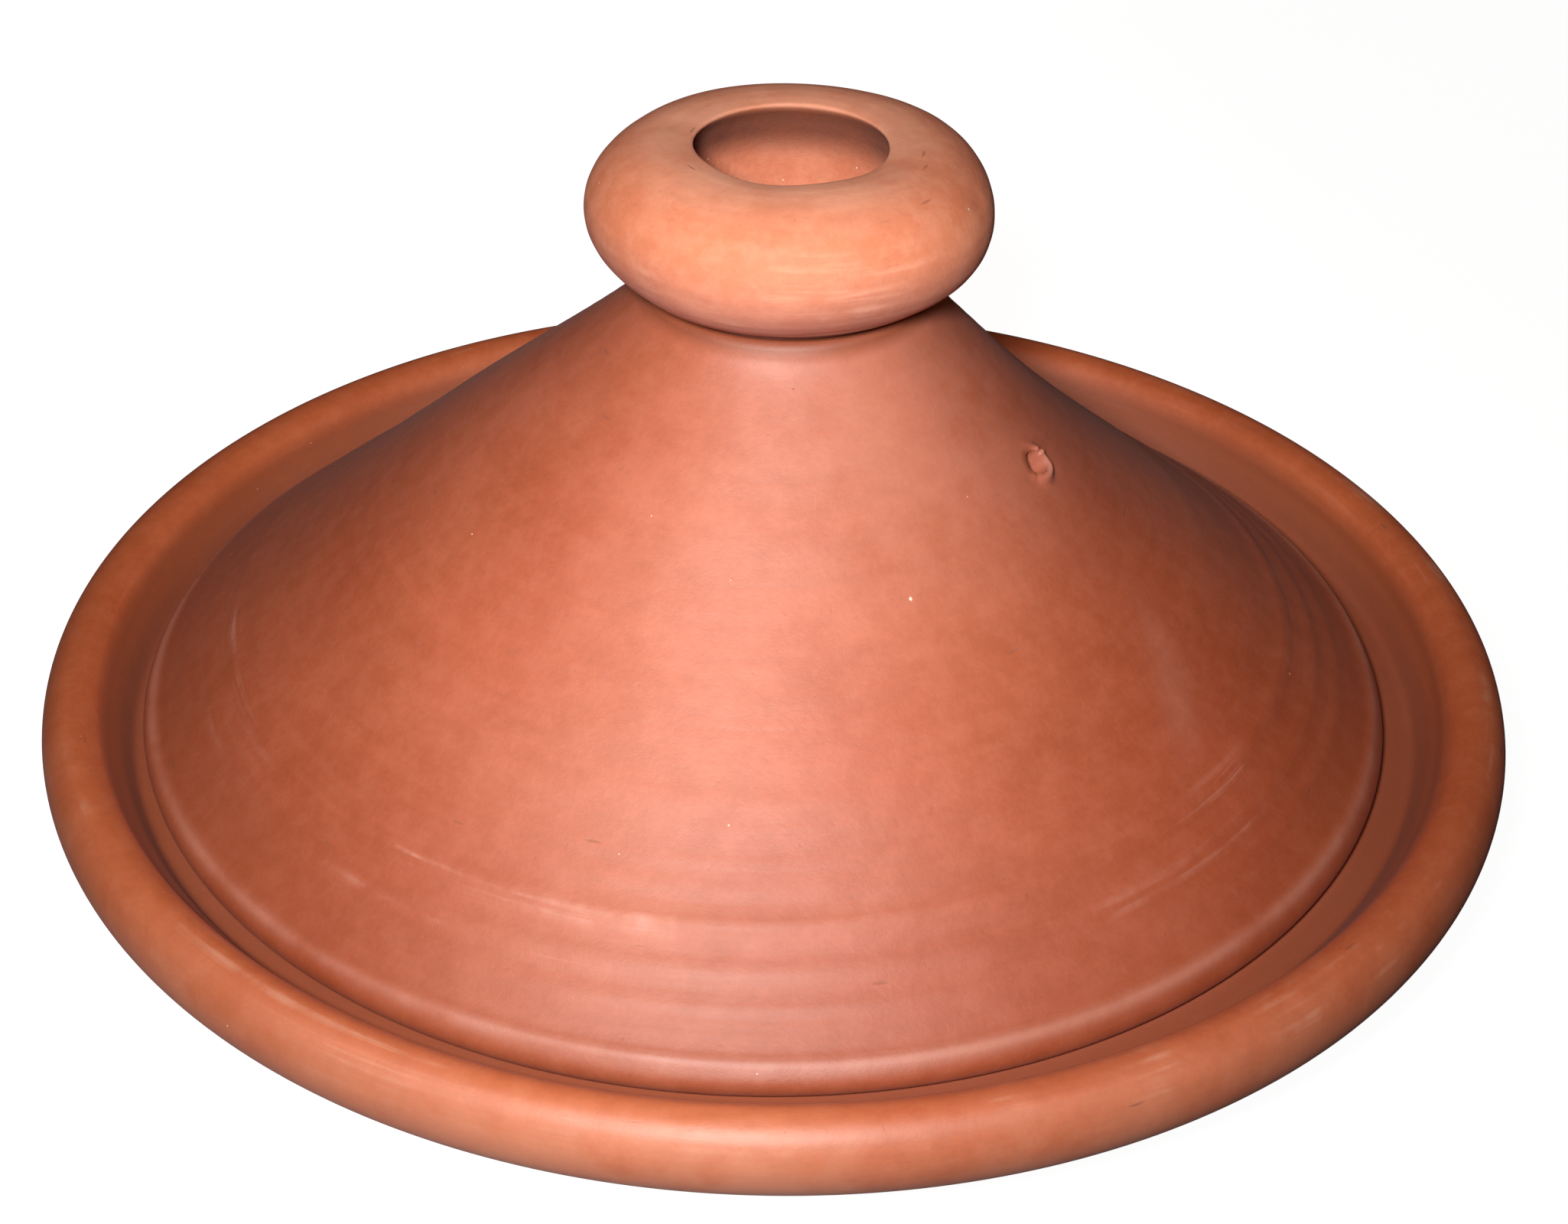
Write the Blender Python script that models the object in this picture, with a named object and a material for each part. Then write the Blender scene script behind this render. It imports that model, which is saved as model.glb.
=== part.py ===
"""Tagine pot in unglazed terracotta: a shallow dish and the conical lid that lifts off it.

The lid is one moving piece made of three: a thrown cone with a steam vent pierced through its
side, a ring knob thrown separately, and the ring of luting clay that holds the two together.
Lengths are in metres, +Z is up, and the origin is the centre of the dish's foot.

Every solid is turned, so each is drawn as an outline of (radius, height) points and spun round Z.
"""
import math

import bmesh
import bpy
from mathutils import Vector

# Clearance between pieces that touch.
GAP = 0.0003

# Dish.
DISH_RADIUS = 0.160
FOOT_RADIUS = 0.100
FOOT_EDGE = 0.004
FLOOR_THICKNESS = 0.0085
FLOOR_RADIUS = 0.085
WALL_THICKNESS = 0.008
OUTER_WALL_PULL = (0.129, 0.012)
INNER_WALL_PULL_RADIUS = 0.123

# The rolled rim is two arcs that meet smoothly: a full outer roll and a tighter crest.
RIM_ROLL = 0.01165
RIM_CREST = 0.0068
RIM_HEIGHT = 0.046
RIM_MEETING_ANGLE = 30.0
RIM_UNDERSIDE_ANGLE = -120.0
RIM_INNER_ANGLE = 150.0

# The gallery is the ledge inside the rim that the lid's edge rests on.
GALLERY_HEIGHT = RIM_HEIGHT - 0.005
GALLERY_INNER_RADIUS = 0.127
GALLERY_OUTER_RADIUS = 0.1405
GALLERY_CORNER = 0.003
GALLERY_SLOPE = 0.0024
INNER_WALL_STEP = 0.001

# Lid. Its centre line starts beside the dish's, leans one way half way up, and comes back over
# at the neck, because the cone is thrown and trimmed by hand.
LID_OFFSET_X = -0.0019
LID_RADIUS = 0.1362
LID_NOSE = 0.0036
LID_SHOULDER_ANGLE = 50.0
LID_SIDE_PULL = (0.072, 0.098)
LID_LEAN = -0.0024
NECK_SHIFT = 0.0034
NECK_SHIFT_START = 0.50
NECK_SHIFT_END = 0.95
NECK_BASE = (0.0365, 0.132)
NECK_RADIUS = 0.034
NECK_PULL_HEIGHT = 0.1345
NECK_HEIGHT = 0.139
LID_TOP_HEIGHT = 0.1425
LID_TOP_CORNER = 0.0018
LID_TOP_THICKNESS = 0.0085
LID_EDGE_CHAMFER = 0.0015
INNER_NECK_INSET = (0.0055, 0.006)
CEILING_PULL_RADIUS = 0.024

# Steam vent: how far up the cone's side it is, from 0 at the shoulder to 1 at the neck.
VENT_ALONG_SIDE = 0.715
VENT_AZIMUTH = -21.8
VENT_RADIUS = 0.00275
VENT_DRILL_LENGTH = 0.030

# Ring knob, an oval in section with a cup hollowed into its top.
KNOB_RADIUS = 0.042
KNOB_HALF_WIDTH = 0.0174
KNOB_HALF_HEIGHT = 0.015
KNOB_HEIGHT = 0.158
KNOB_BASE_HEIGHT = 0.1450
CUP_MOUTH_RADIUS = 0.0197
CUP_LIP = 0.0012
CUP_BELLY_RADIUS = 0.0235
CUP_BELLY_RISE = 0.002
CUP_BASE_RADIUS = 0.0205
KNOB_BASE_CHAMFER = 0.001

# Luting clay between the cone's closed top and the knob.
LUTING_INNER_RADIUS = 0.0215
LUTING_OUTER_RADIUS = 0.0290
LUTING_EDGE = 0.0006

SMOOTH_ANGLE = math.radians(40.0)
DISH_SEGMENTS = 60
CONE_SEGMENTS = 60
KNOB_SEGMENTS = 48
VENT_SEGMENTS = 16


def clear_scene():
    """Remove every object, so that the script can run twice in one Blender session."""
    for old in list(bpy.data.objects):
        bpy.data.objects.remove(old, do_unlink=True)


def terracotta(name, colour, roughness):
    """Return an unglazed clay material in one colour."""
    material = bpy.data.materials.new(name)
    material.use_nodes = True
    shader = material.node_tree.nodes["Principled BSDF"]
    shader.inputs["Base Color"].default_value = (*colour, 1.0)
    shader.inputs["Roughness"].default_value = roughness
    shader.inputs["Metallic"].default_value = 0.0
    material.diffuse_color = (*colour, 1.0)
    return material


def arc(centre, radius, start, end, steps):
    """Return points on a circular arc, both ends included, with the angles in degrees."""
    return oval_arc(centre, radius, radius, start, end, steps)


def oval_arc(centre, half_width, half_height, start, end, steps):
    """Return points on the arc of an upright oval, both ends included, by its angle in degrees."""
    points = []
    for step in range(steps + 1):
        angle = math.radians(start + (end - start) * step / steps)
        radius = centre[0] + half_width * math.cos(angle)
        height = centre[1] + half_height * math.sin(angle)
        points.append((radius, height))
    return points


def blend(start, pull, end, along):
    """Return the point at fraction along a quadratic curve from start to end, pulled to pull."""
    first = (1.0 - along) ** 2
    middle = 2.0 * along * (1.0 - along)
    last = along ** 2
    return tuple(first * s + middle * p + last * e for s, p, e in zip(start, pull, end))


def curve(start, pull, end, steps):
    """Return steps + 1 points along a quadratic curve, both ends included."""
    return [blend(start, pull, end, step / steps) for step in range(steps + 1)]


def turned(name, outline, segments, material, closed_ring=False):
    """Spin an outline round Z into one closed solid.

    An outline that starts and ends on the axis makes a solid dish or cone. A closed ring's
    outline is a loop that stays clear of the axis.
    """
    shape = bmesh.new()
    corners = [shape.verts.new((radius, 0.0, height)) for radius, height in outline]
    sides = [shape.edges.new(pair) for pair in zip(corners[:-1], corners[1:])]
    if closed_ring:
        sides.append(shape.edges.new((corners[-1], corners[0])))
    bmesh.ops.spin(
        shape,
        geom=corners + sides,
        cent=(0.0, 0.0, 0.0),
        axis=(0.0, 0.0, 1.0),
        angle=math.tau,
        steps=segments,
        use_merge=True,
        use_duplicate=False,
    )
    bmesh.ops.remove_doubles(shape, verts=shape.verts, dist=1e-6)
    bmesh.ops.recalc_face_normals(shape, faces=shape.faces)
    mesh = bpy.data.meshes.new(name)
    shape.to_mesh(mesh)
    shape.free()
    mesh.materials.append(material)
    mesh.shade_smooth()
    mesh.set_sharp_from_angle(angle=SMOOTH_ANGLE)
    solid = bpy.data.objects.new(name, mesh)
    bpy.context.collection.objects.link(solid)
    return solid


def rim_outline():
    """Return the rolled rim from its underside, round the outside and down to the gallery."""
    roll_centre = (DISH_RADIUS - RIM_ROLL, RIM_HEIGHT)
    meeting = math.radians(RIM_MEETING_ANGLE)
    inset = RIM_ROLL - RIM_CREST
    crest_centre = (
        roll_centre[0] + inset * math.cos(meeting),
        roll_centre[1] + inset * math.sin(meeting),
    )
    roll = arc(roll_centre, RIM_ROLL, RIM_UNDERSIDE_ANGLE, RIM_MEETING_ANGLE, 10)
    crest = arc(crest_centre, RIM_CREST, RIM_MEETING_ANGLE, RIM_INNER_ANGLE, 6)
    return roll + crest[1:]


def dish_outline():
    """Return the dish from the centre of its foot, over the rim, to the centre of its floor."""
    foot_corner = arc((FOOT_RADIUS - FOOT_EDGE, FOOT_EDGE), FOOT_EDGE, -90.0, -40.0, 2)
    rim = rim_outline()
    outer_wall = curve(foot_corner[-1], OUTER_WALL_PULL, rim[0], 5)
    inner_edge = (GALLERY_INNER_RADIUS + GALLERY_CORNER, GALLERY_HEIGHT)
    half_corner = 0.5 * GALLERY_CORNER
    slope_foot = (GALLERY_OUTER_RADIUS + half_corner, GALLERY_HEIGHT + GALLERY_SLOPE)
    ledge_start = (GALLERY_OUTER_RADIUS - half_corner, GALLERY_HEIGHT)
    groove = curve(slope_foot, (GALLERY_OUTER_RADIUS, GALLERY_HEIGHT), ledge_start, 2)
    wall_top = (GALLERY_INNER_RADIUS - INNER_WALL_STEP, GALLERY_HEIGHT - GALLERY_CORNER)
    corner = curve(inner_edge, (GALLERY_INNER_RADIUS, GALLERY_HEIGHT), wall_top, 2)
    floor_edge = (FLOOR_RADIUS, FLOOR_THICKNESS)
    inner_wall = curve(wall_top, (INNER_WALL_PULL_RADIUS, FLOOR_THICKNESS), floor_edge, 6)
    outline = [(0.0, 0.0)]
    outline += foot_corner
    outline += outer_wall[1:-1]
    outline += rim
    outline += groove
    outline += corner
    outline += inner_wall[1:]
    outline.append((0.0, FLOOR_THICKNESS))
    return outline


def lid_seat_height():
    """Return the height of the lid's lowest ring when it rests in the gallery."""
    return GALLERY_HEIGHT + GAP


def lid_shoulder():
    """Return the point where the lid's rounded edge turns into the cone's side."""
    angle = math.radians(LID_SHOULDER_ANGLE)
    radius = LID_RADIUS - LID_NOSE + LID_NOSE * math.cos(angle)
    height = lid_seat_height() + LID_NOSE + LID_NOSE * math.sin(angle)
    return (radius, height)


def lid_side_point(along):
    """Return the point at fraction along the cone's outer side, from shoulder to neck."""
    return blend(lid_shoulder(), LID_SIDE_PULL, NECK_BASE, along)


def inward(point):
    """Return a side point moved through the wall, square to the cone's mean slope."""
    shoulder = Vector(lid_shoulder())
    slope = (Vector(NECK_BASE) - shoulder).normalized()
    return (point[0] + WALL_THICKNESS * -slope[1], point[1] + WALL_THICKNESS * slope[0])


def cone_outline():
    """Return the lid's cone from the centre of its closed top, down outside and back up inside."""
    seat = lid_seat_height()
    corner_centre = (NECK_RADIUS - LID_TOP_CORNER, LID_TOP_HEIGHT - LID_TOP_CORNER)
    top_corner = arc(corner_centre, LID_TOP_CORNER, 90.0, 0.0, 2)
    neck = curve((NECK_RADIUS, NECK_HEIGHT), (NECK_RADIUS, NECK_PULL_HEIGHT), NECK_BASE, 3)
    side = [lid_side_point(1.0 - step / 8) for step in range(9)]
    nose_centre = (LID_RADIUS - LID_NOSE, seat + LID_NOSE)
    nose = arc(nose_centre, LID_NOSE, LID_SHOULDER_ANGLE, -90.0, 5)
    inner_foot = inward(lid_shoulder())
    inner_neck = (NECK_BASE[0] - INNER_NECK_INSET[0], NECK_BASE[1] - INNER_NECK_INSET[1])
    inner_side = curve(inner_foot, inward(LID_SIDE_PULL), inner_neck, 6)
    ceiling_height = LID_TOP_HEIGHT - LID_TOP_THICKNESS
    ceiling = curve(inner_neck, (CEILING_PULL_RADIUS, ceiling_height), (0.0, ceiling_height), 3)
    outline = [(0.0, LID_TOP_HEIGHT)]
    outline += top_corner
    outline += neck
    outline += side[1:]
    outline += nose[1:]
    outline.append((inner_foot[0] + LID_EDGE_CHAMFER, seat))
    outline.append((inner_foot[0], seat + LID_EDGE_CHAMFER))
    outline += inner_side[1:]
    outline += ceiling[1:]
    return outline


def knob_outline():
    """Return the knob's section as a loop: base, outside, rounded top, lip and hollow cup."""
    centre = (KNOB_RADIUS - KNOB_HALF_WIDTH, KNOB_HEIGHT)
    base_angle = -math.degrees(math.asin((KNOB_HEIGHT - KNOB_BASE_HEIGHT) / KNOB_HALF_HEIGHT))
    lip_inner = CUP_MOUTH_RADIUS + CUP_LIP
    lip_angle = math.degrees(math.acos((lip_inner - centre[0]) / KNOB_HALF_WIDTH))
    lower_side = oval_arc(centre, KNOB_HALF_WIDTH, KNOB_HALF_HEIGHT, base_angle, 0.0, 4)
    upper_side = oval_arc(centre, KNOB_HALF_WIDTH, KNOB_HALF_HEIGHT, 0.0, lip_angle, 8)
    outside = lower_side + upper_side[1:]
    lip_height = outside[-1][1]
    lip = curve(
        outside[-1],
        (CUP_MOUTH_RADIUS, lip_height),
        (CUP_MOUTH_RADIUS, lip_height - 1.5 * CUP_LIP),
        2,
    )
    belly_pull = (2.0 * CUP_BELLY_RADIUS - CUP_MOUTH_RADIUS, KNOB_HEIGHT + CUP_BELLY_RISE)
    cup_foot = (CUP_BASE_RADIUS, KNOB_BASE_HEIGHT + KNOB_BASE_CHAMFER)
    cup = curve(lip[-1], belly_pull, cup_foot, 5)
    base_edge = (CUP_BASE_RADIUS + KNOB_BASE_CHAMFER, KNOB_BASE_HEIGHT)
    return outside + lip[1:] + cup[1:] + [base_edge]


def luting_outline():
    """Return the luting ring's section as a loop with a slightly bulging outer side."""
    bottom = LID_TOP_HEIGHT + GAP
    top = KNOB_BASE_HEIGHT - GAP
    outer = LUTING_OUTER_RADIUS - LUTING_EDGE
    middle = 0.5 * (bottom + top)
    bulge = curve((outer, bottom), (LUTING_OUTER_RADIUS + LUTING_EDGE, middle), (outer, top), 2)
    return bulge + [(LUTING_INNER_RADIUS, top), (LUTING_INNER_RADIUS, bottom)]


def lean(height):
    """Return how far the lid's centre line is from its own axis, along X, at a height."""
    span = LID_TOP_HEIGHT - lid_seat_height()
    share = min(max((height - lid_seat_height()) / span, 0.0), 1.0)
    turn = (share - NECK_SHIFT_START) / (NECK_SHIFT_END - NECK_SHIFT_START)
    turn = min(max(turn, 0.0), 1.0)
    ease = turn * turn * (3.0 - 2.0 * turn)
    return LID_LEAN * math.sin(math.pi * share) + NECK_SHIFT * ease


def lean_over(solid):
    """Shift each level of a lid piece along X, so that it follows the lid's centre line."""
    for vertex in solid.data.vertices:
        vertex.co.x += lean(vertex.co.z)


def vent_frame():
    """Return the vent's centre on the cone's side, and its direction square to the side."""
    here = Vector(lid_side_point(VENT_ALONG_SIDE))
    above = Vector(lid_side_point(VENT_ALONG_SIDE + 0.01))
    slope = (above - here).normalized()
    azimuth = math.radians(VENT_AZIMUTH)
    across = Vector((math.cos(azimuth), math.sin(azimuth), 0.0))
    centre = across * here[0] + Vector((lean(here[1]), 0.0, here[1]))
    direction = across * slope[1] + Vector((0.0, 0.0, -slope[0]))
    return centre, direction


def pierce_vent(cone, parent):
    """Cut the steam vent through the cone's wall with a hidden drill."""
    centre, direction = vent_frame()
    shape = bmesh.new()
    bmesh.ops.create_cone(
        shape,
        cap_ends=True,
        segments=VENT_SEGMENTS,
        radius1=VENT_RADIUS,
        radius2=VENT_RADIUS,
        depth=VENT_DRILL_LENGTH,
    )
    mesh = bpy.data.meshes.new("vent_drill")
    shape.to_mesh(mesh)
    shape.free()
    drill = bpy.data.objects.new("vent_drill", mesh)
    bpy.context.collection.objects.link(drill)
    drill.parent = parent
    drill.location = centre
    drill.rotation_euler = direction.to_track_quat("Z", "Y").to_euler()
    drill.hide_render = True
    drill.display_type = "WIRE"
    cut = cone.modifiers.new("steam vent", "BOOLEAN")
    cut.operation = "DIFFERENCE"
    cut.solver = "EXACT"
    cut.object = drill


def build_dish():
    """Build the dish, which stands on its flat foot and stays still."""
    clay = terracotta("dish_clay", (0.48, 0.16, 0.075), 0.62)
    turned("base_dish", dish_outline(), DISH_SEGMENTS, clay)


def build_lid():
    """Build the lid's three pieces on one empty, which lies on the axis that the lid lifts along."""
    lift = bpy.data.objects.new("lid_lift", None)
    lift.location = (LID_OFFSET_X, 0.0, 0.0)
    bpy.context.collection.objects.link(lift)

    cone_clay = terracotta("lid_clay", (0.55, 0.18, 0.11), 0.78)
    cone = turned("lid_cone", cone_outline(), CONE_SEGMENTS, cone_clay)
    luting_clay = terracotta("luting_clay", (0.38, 0.12, 0.07), 0.85)
    luting = turned("luting_ring", luting_outline(), KNOB_SEGMENTS, luting_clay, closed_ring=True)
    knob_clay = terracotta("knob_clay", (0.66, 0.27, 0.14), 0.70)
    knob = turned("knob_ring", knob_outline(), KNOB_SEGMENTS, knob_clay, closed_ring=True)
    for piece in (cone, luting, knob):
        lean_over(piece)
        piece.parent = lift
    pierce_vent(cone, lift)


def main():
    """Build the whole tagine pot in an empty scene."""
    clear_scene()
    build_dish()
    build_lid()


main()
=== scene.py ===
"""Tagine pot in unglazed terracotta, dressed on its fixed frame.

Four turned pieces stand for the frame's four solids: the dish, the lid's cone with its pierced
steam vent, the ring of luting clay, and the ring knob. Each is an outline of radius and height
carried round an upright axis, with the unevenness of hand throwing worked into it, and each is
dressed in a clay finish built from shared shader groups. Lengths are in metres.
"""

import logging
import math
from dataclasses import dataclass
from enum import Enum
from typing import Callable, Dict, Optional, Sequence, Tuple, Union

import bpy
import numpy as np
from mathutils import Euler, Matrix, Vector


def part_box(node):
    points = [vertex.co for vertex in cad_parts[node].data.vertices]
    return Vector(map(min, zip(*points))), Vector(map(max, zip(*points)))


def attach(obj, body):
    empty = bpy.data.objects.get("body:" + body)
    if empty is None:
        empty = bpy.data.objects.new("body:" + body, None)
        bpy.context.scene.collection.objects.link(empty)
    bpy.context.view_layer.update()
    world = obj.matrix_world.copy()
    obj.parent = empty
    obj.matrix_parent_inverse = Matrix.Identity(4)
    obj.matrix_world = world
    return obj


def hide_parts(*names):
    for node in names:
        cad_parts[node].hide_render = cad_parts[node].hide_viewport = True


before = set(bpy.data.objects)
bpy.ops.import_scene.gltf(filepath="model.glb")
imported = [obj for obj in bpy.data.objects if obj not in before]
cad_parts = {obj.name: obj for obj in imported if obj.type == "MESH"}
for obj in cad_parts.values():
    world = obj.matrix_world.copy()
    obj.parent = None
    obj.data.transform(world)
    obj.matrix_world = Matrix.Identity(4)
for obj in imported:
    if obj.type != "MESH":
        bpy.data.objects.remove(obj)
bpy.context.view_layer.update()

Pair = Tuple[float, float]
Colour = Tuple[float, float, float]
Socket = bpy.types.NodeSocket
Relief = Callable[[np.ndarray, np.ndarray], np.ndarray]

Sockets = Dict[str, Socket]

log = logging.getLogger("tagine")

# The numbers that a piece of clay keeps on its points, for its finish to read.
MARKS = ("along", "dust_and_highlight", "shade_and_grey", "ridge", "worn", "raw", "deep")


class Clay(Enum):
    """The four clay finishes, by the name of the frame's material slot."""

    DISH = "dish_clay"
    CONE = "lid_clay"
    LUTING = "luting_clay"
    KNOB = "knob_clay"


class Body(Enum):
    """The two pieces that a hand can part."""

    DISH = "dish"
    LID = "lid"


# ---- Outlines ------------------------------------------------------------------------------


def oval(centre: Pair, half: Pair, start: float, end: float, count: int = 90) -> np.ndarray:
    """Return an arc of an upright oval: centre plus half sizes times cosine and sine.

    Args:
        centre: Radius and height of the oval's centre.
        half: Half width and half height.
        start: First angle in degrees, from straight out.
        end: Last angle in degrees.
        count: Number of points.

    Returns:
        An array of count radii and heights.
    """
    angle = np.radians(np.linspace(start, end, count))
    radius = centre[0] + half[0] * np.cos(angle)
    height = centre[1] + half[1] * np.sin(angle)
    return np.stack([radius, height], axis=1)


def bow(
    start: Sequence[float], pull: Sequence[float], end: Sequence[float], count: int = 90
) -> np.ndarray:
    """Return a quadratic curve from start to end, drawn towards pull.

    Args:
        start: First radius and height.
        pull: The point that both ends head for.
        end: Last radius and height.
        count: Number of points.

    Returns:
        An array of count radii and heights.
    """
    t = np.linspace(0.0, 1.0, count)[:, None]
    return (1 - t) ** 2 * np.array(start) + 2 * t * (1 - t) * np.array(pull) + t**2 * np.array(end)


def lengths(outline: np.ndarray) -> np.ndarray:
    """Return each point's distance along an outline from its first point."""
    steps = np.linalg.norm(np.diff(outline, axis=0), axis=1)
    return np.concatenate([[0.0], np.cumsum(steps)])


def smooth_step(value: np.ndarray, low: float, high: float) -> np.ndarray:
    """Return 0 below low, 1 above high and a smooth ease between them."""
    share = np.clip((value - low) / (high - low), 0.0, 1.0)
    return share * share * (3.0 - 2.0 * share)


def hump(value: np.ndarray, middle: float, reach: float) -> np.ndarray:
    """Return a bell curve: 1 at middle and about a third at one reach from it."""
    return np.exp(-(((value - middle) / reach) ** 2))


@dataclass(frozen=True)
class Focus:
    """A stretch where grid lines lie closer together: gain times closer at its middle."""

    middle: float
    reach: float
    gain: float


def spread(low: float, high: float, count: int, focuses: Sequence[Focus] = ()) -> np.ndarray:
    """Return rising values from low to high that crowd together at each focus.

    The density is one plus a bell curve for each focus; values are placed at equal steps of its
    running total.

    Args:
        low: First value.
        high: Last value.
        count: Number of values.
        focuses: Where they crowd.

    Returns:
        An array of count values.
    """
    fine = np.linspace(low, high, 8000)
    density = np.ones_like(fine)
    for focus in focuses:
        density = density + (focus.gain - 1.0) * hump(fine, focus.middle, focus.reach)
    total = np.concatenate([[0.0], np.cumsum(0.5 * (density[1:] + density[:-1]))])
    return np.interp(np.linspace(0.0, total[-1], count), total, fine)


@dataclass(frozen=True)
class Outline:
    """A turned outline: evenly spaced points whose corners have been wiped round.

    The solid clay is on the outline's left. An open outline starts and ends on the axis.
    """

    points: np.ndarray
    closed: bool

    STEP = 0.0001

    @classmethod
    def wiped(
        cls, stretches: Sequence[np.ndarray], reach: float, closed: bool = False
    ) -> "Outline":
        """Join stretches end to end and round every corner.

        The joined line is respaced to a tenth of a millimetre and each coordinate is averaged
        along it with a bell curve. Past an end on the axis it goes on as its own reflection.

        Args:
            stretches: Arrays of radii and heights.
            reach: How far the wiping reaches, the bell curve's standard deviation.
            closed: Whether the outline is a loop.

        Returns:
            The rounded outline.
        """
        raw = np.concatenate([np.asarray(stretch, dtype=float) for stretch in stretches])
        if closed:
            raw = np.concatenate([raw, raw[:1]])
        distance = lengths(raw)
        keep = np.concatenate([[True], np.diff(distance) > 1e-9])
        raw, distance = raw[keep], distance[keep]
        count = int(distance[-1] / cls.STEP) + 1
        even = np.linspace(0.0, distance[-1], count)
        line = np.stack([np.interp(even, distance, raw[:, axis]) for axis in (0, 1)], axis=1)
        half = int(4.0 * reach / cls.STEP)
        bell = hump(np.arange(-half, half + 1) * cls.STEP, 0.0, reach * math.sqrt(2.0))
        bell /= bell.sum()
        if closed:
            line = line[:-1]
            padded = np.concatenate([line[-half:], line, line[:half]])
        else:
            mirror = np.array([-1.0, 1.0])
            before, after = line[half:0:-1] * mirror, line[-2 : -half - 2 : -1] * mirror
            padded = np.concatenate([before, line, after])
        smooth = np.stack([np.convolve(padded[:, axis], bell, "valid") for axis in (0, 1)], axis=1)
        return cls(smooth, closed)

    @property
    def length(self) -> float:
        """Return the outline's whole length."""
        ring = np.concatenate([self.points, self.points[:1]]) if self.closed else self.points
        return float(lengths(ring)[-1])

    def where(self, radius: float, height: float) -> float:
        """Return the distance along the outline of its point nearest to a radius and height."""
        gap = np.linalg.norm(self.points - np.array([radius, height]), axis=1)
        return float(lengths(self.points)[np.argmin(gap)])

    def at(self, distance: np.ndarray) -> np.ndarray:
        """Return the points at some distances along the outline.

        Args:
            distance: Distances from the outline's start.

        Returns:
            The points, as rows of radius and height.
        """
        ring = np.concatenate([self.points, self.points[:1]]) if self.closed else self.points
        known = lengths(ring)
        return np.stack([np.interp(distance, known, ring[:, axis]) for axis in (0, 1)], axis=-1)

    def outward(self, distance: np.ndarray) -> np.ndarray:
        """Return unit vectors square to the outline, pointing out of the clay.

        Args:
            distance: Distances from the outline's start.

        Returns:
            The unit vectors, as rows of radius and height.
        """
        step = 0.0003
        ahead = self.at(np.clip(distance + step, 0.0, self.length))
        behind = self.at(np.clip(distance - step, 0.0, self.length))
        along = ahead - behind
        along /= np.linalg.norm(along, axis=-1, keepdims=True)
        return np.stack([along[..., 1], -along[..., 0]], axis=-1)


# ---- Unevenness of hand work ---------------------------------------------------------------


def lumps(
    angle: np.ndarray, along: np.ndarray, seed: int, size: float, pitch: float, most_turns: int = 5
) -> np.ndarray:
    """Return slow unevenness over a turned piece.

    It is a sum of nine cosines. Each has a whole number of waves round the pot, so that it
    closes on itself, and a random number of waves along the outline.

    Args:
        angle: Angles round the axis, as a row.
        along: Distances along the outline, as a column.
        seed: Seed for the waves.
        size: Typical height.
        pitch: Shortest wave along the outline.
        most_turns: Most waves round the pot.

    Returns:
        A grid of heights.
    """
    rng = np.random.default_rng(seed)
    total = np.zeros(np.broadcast(angle, along).shape)
    for _ in range(9):
        turns = rng.integers(1, most_turns + 1)
        waves = rng.uniform(-1.0, 1.0) / pitch
        total += np.cos(turns * angle + math.tau * waves * along + rng.uniform(0.0, math.tau))
    return size * total / 3.0


def finger_rings(angle: np.ndarray, along: np.ndarray, pitch: float, depth: float) -> np.ndarray:
    """Return the spiral groove that fingers leave on the wheel.

    It is a cosine of the distance along the outline, moved on by one wave in each turn, with a
    pitch that slowly wanders. It only cuts in.

    Args:
        angle: Angles round the axis, as a row.
        along: Distances along the outline, as a column.
        pitch: Distance between grooves.
        depth: Depth of a groove.

    Returns:
        A grid of heights, none above zero.
    """
    wander = 1.3 * np.sin(along / (1.7 * pitch)) + 0.5 * np.sin(2.0 * angle + along / (0.9 * pitch))
    return 0.5 * depth * (np.cos(math.tau * along / pitch + angle + wander) - 1.0)


def dents(
    angle: np.ndarray, along: np.ndarray, radius: np.ndarray, spots: Sequence[Tuple[float, ...]]
) -> np.ndarray:
    """Return small dents or bumps, each a bell curve on the surface.

    Args:
        angle: Angles round the axis, as a row.
        along: Distances along the outline, as a column.
        radius: Each row's radius, as a column.
        spots: For each: angle in degrees, distance along, half length round the pot, half
            length along the outline, and height, which is below zero for a dent.

    Returns:
        A grid of heights.
    """
    total = np.zeros(np.broadcast(angle, along).shape)
    for turn, place, round_reach, along_reach, height in spots:
        swing = (angle - math.radians(turn) + math.pi) % math.tau - math.pi
        total += height * hump(swing * radius, 0.0, round_reach) * hump(along, place, along_reach)
    return total


# ---- Turned surfaces -----------------------------------------------------------------------


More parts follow.
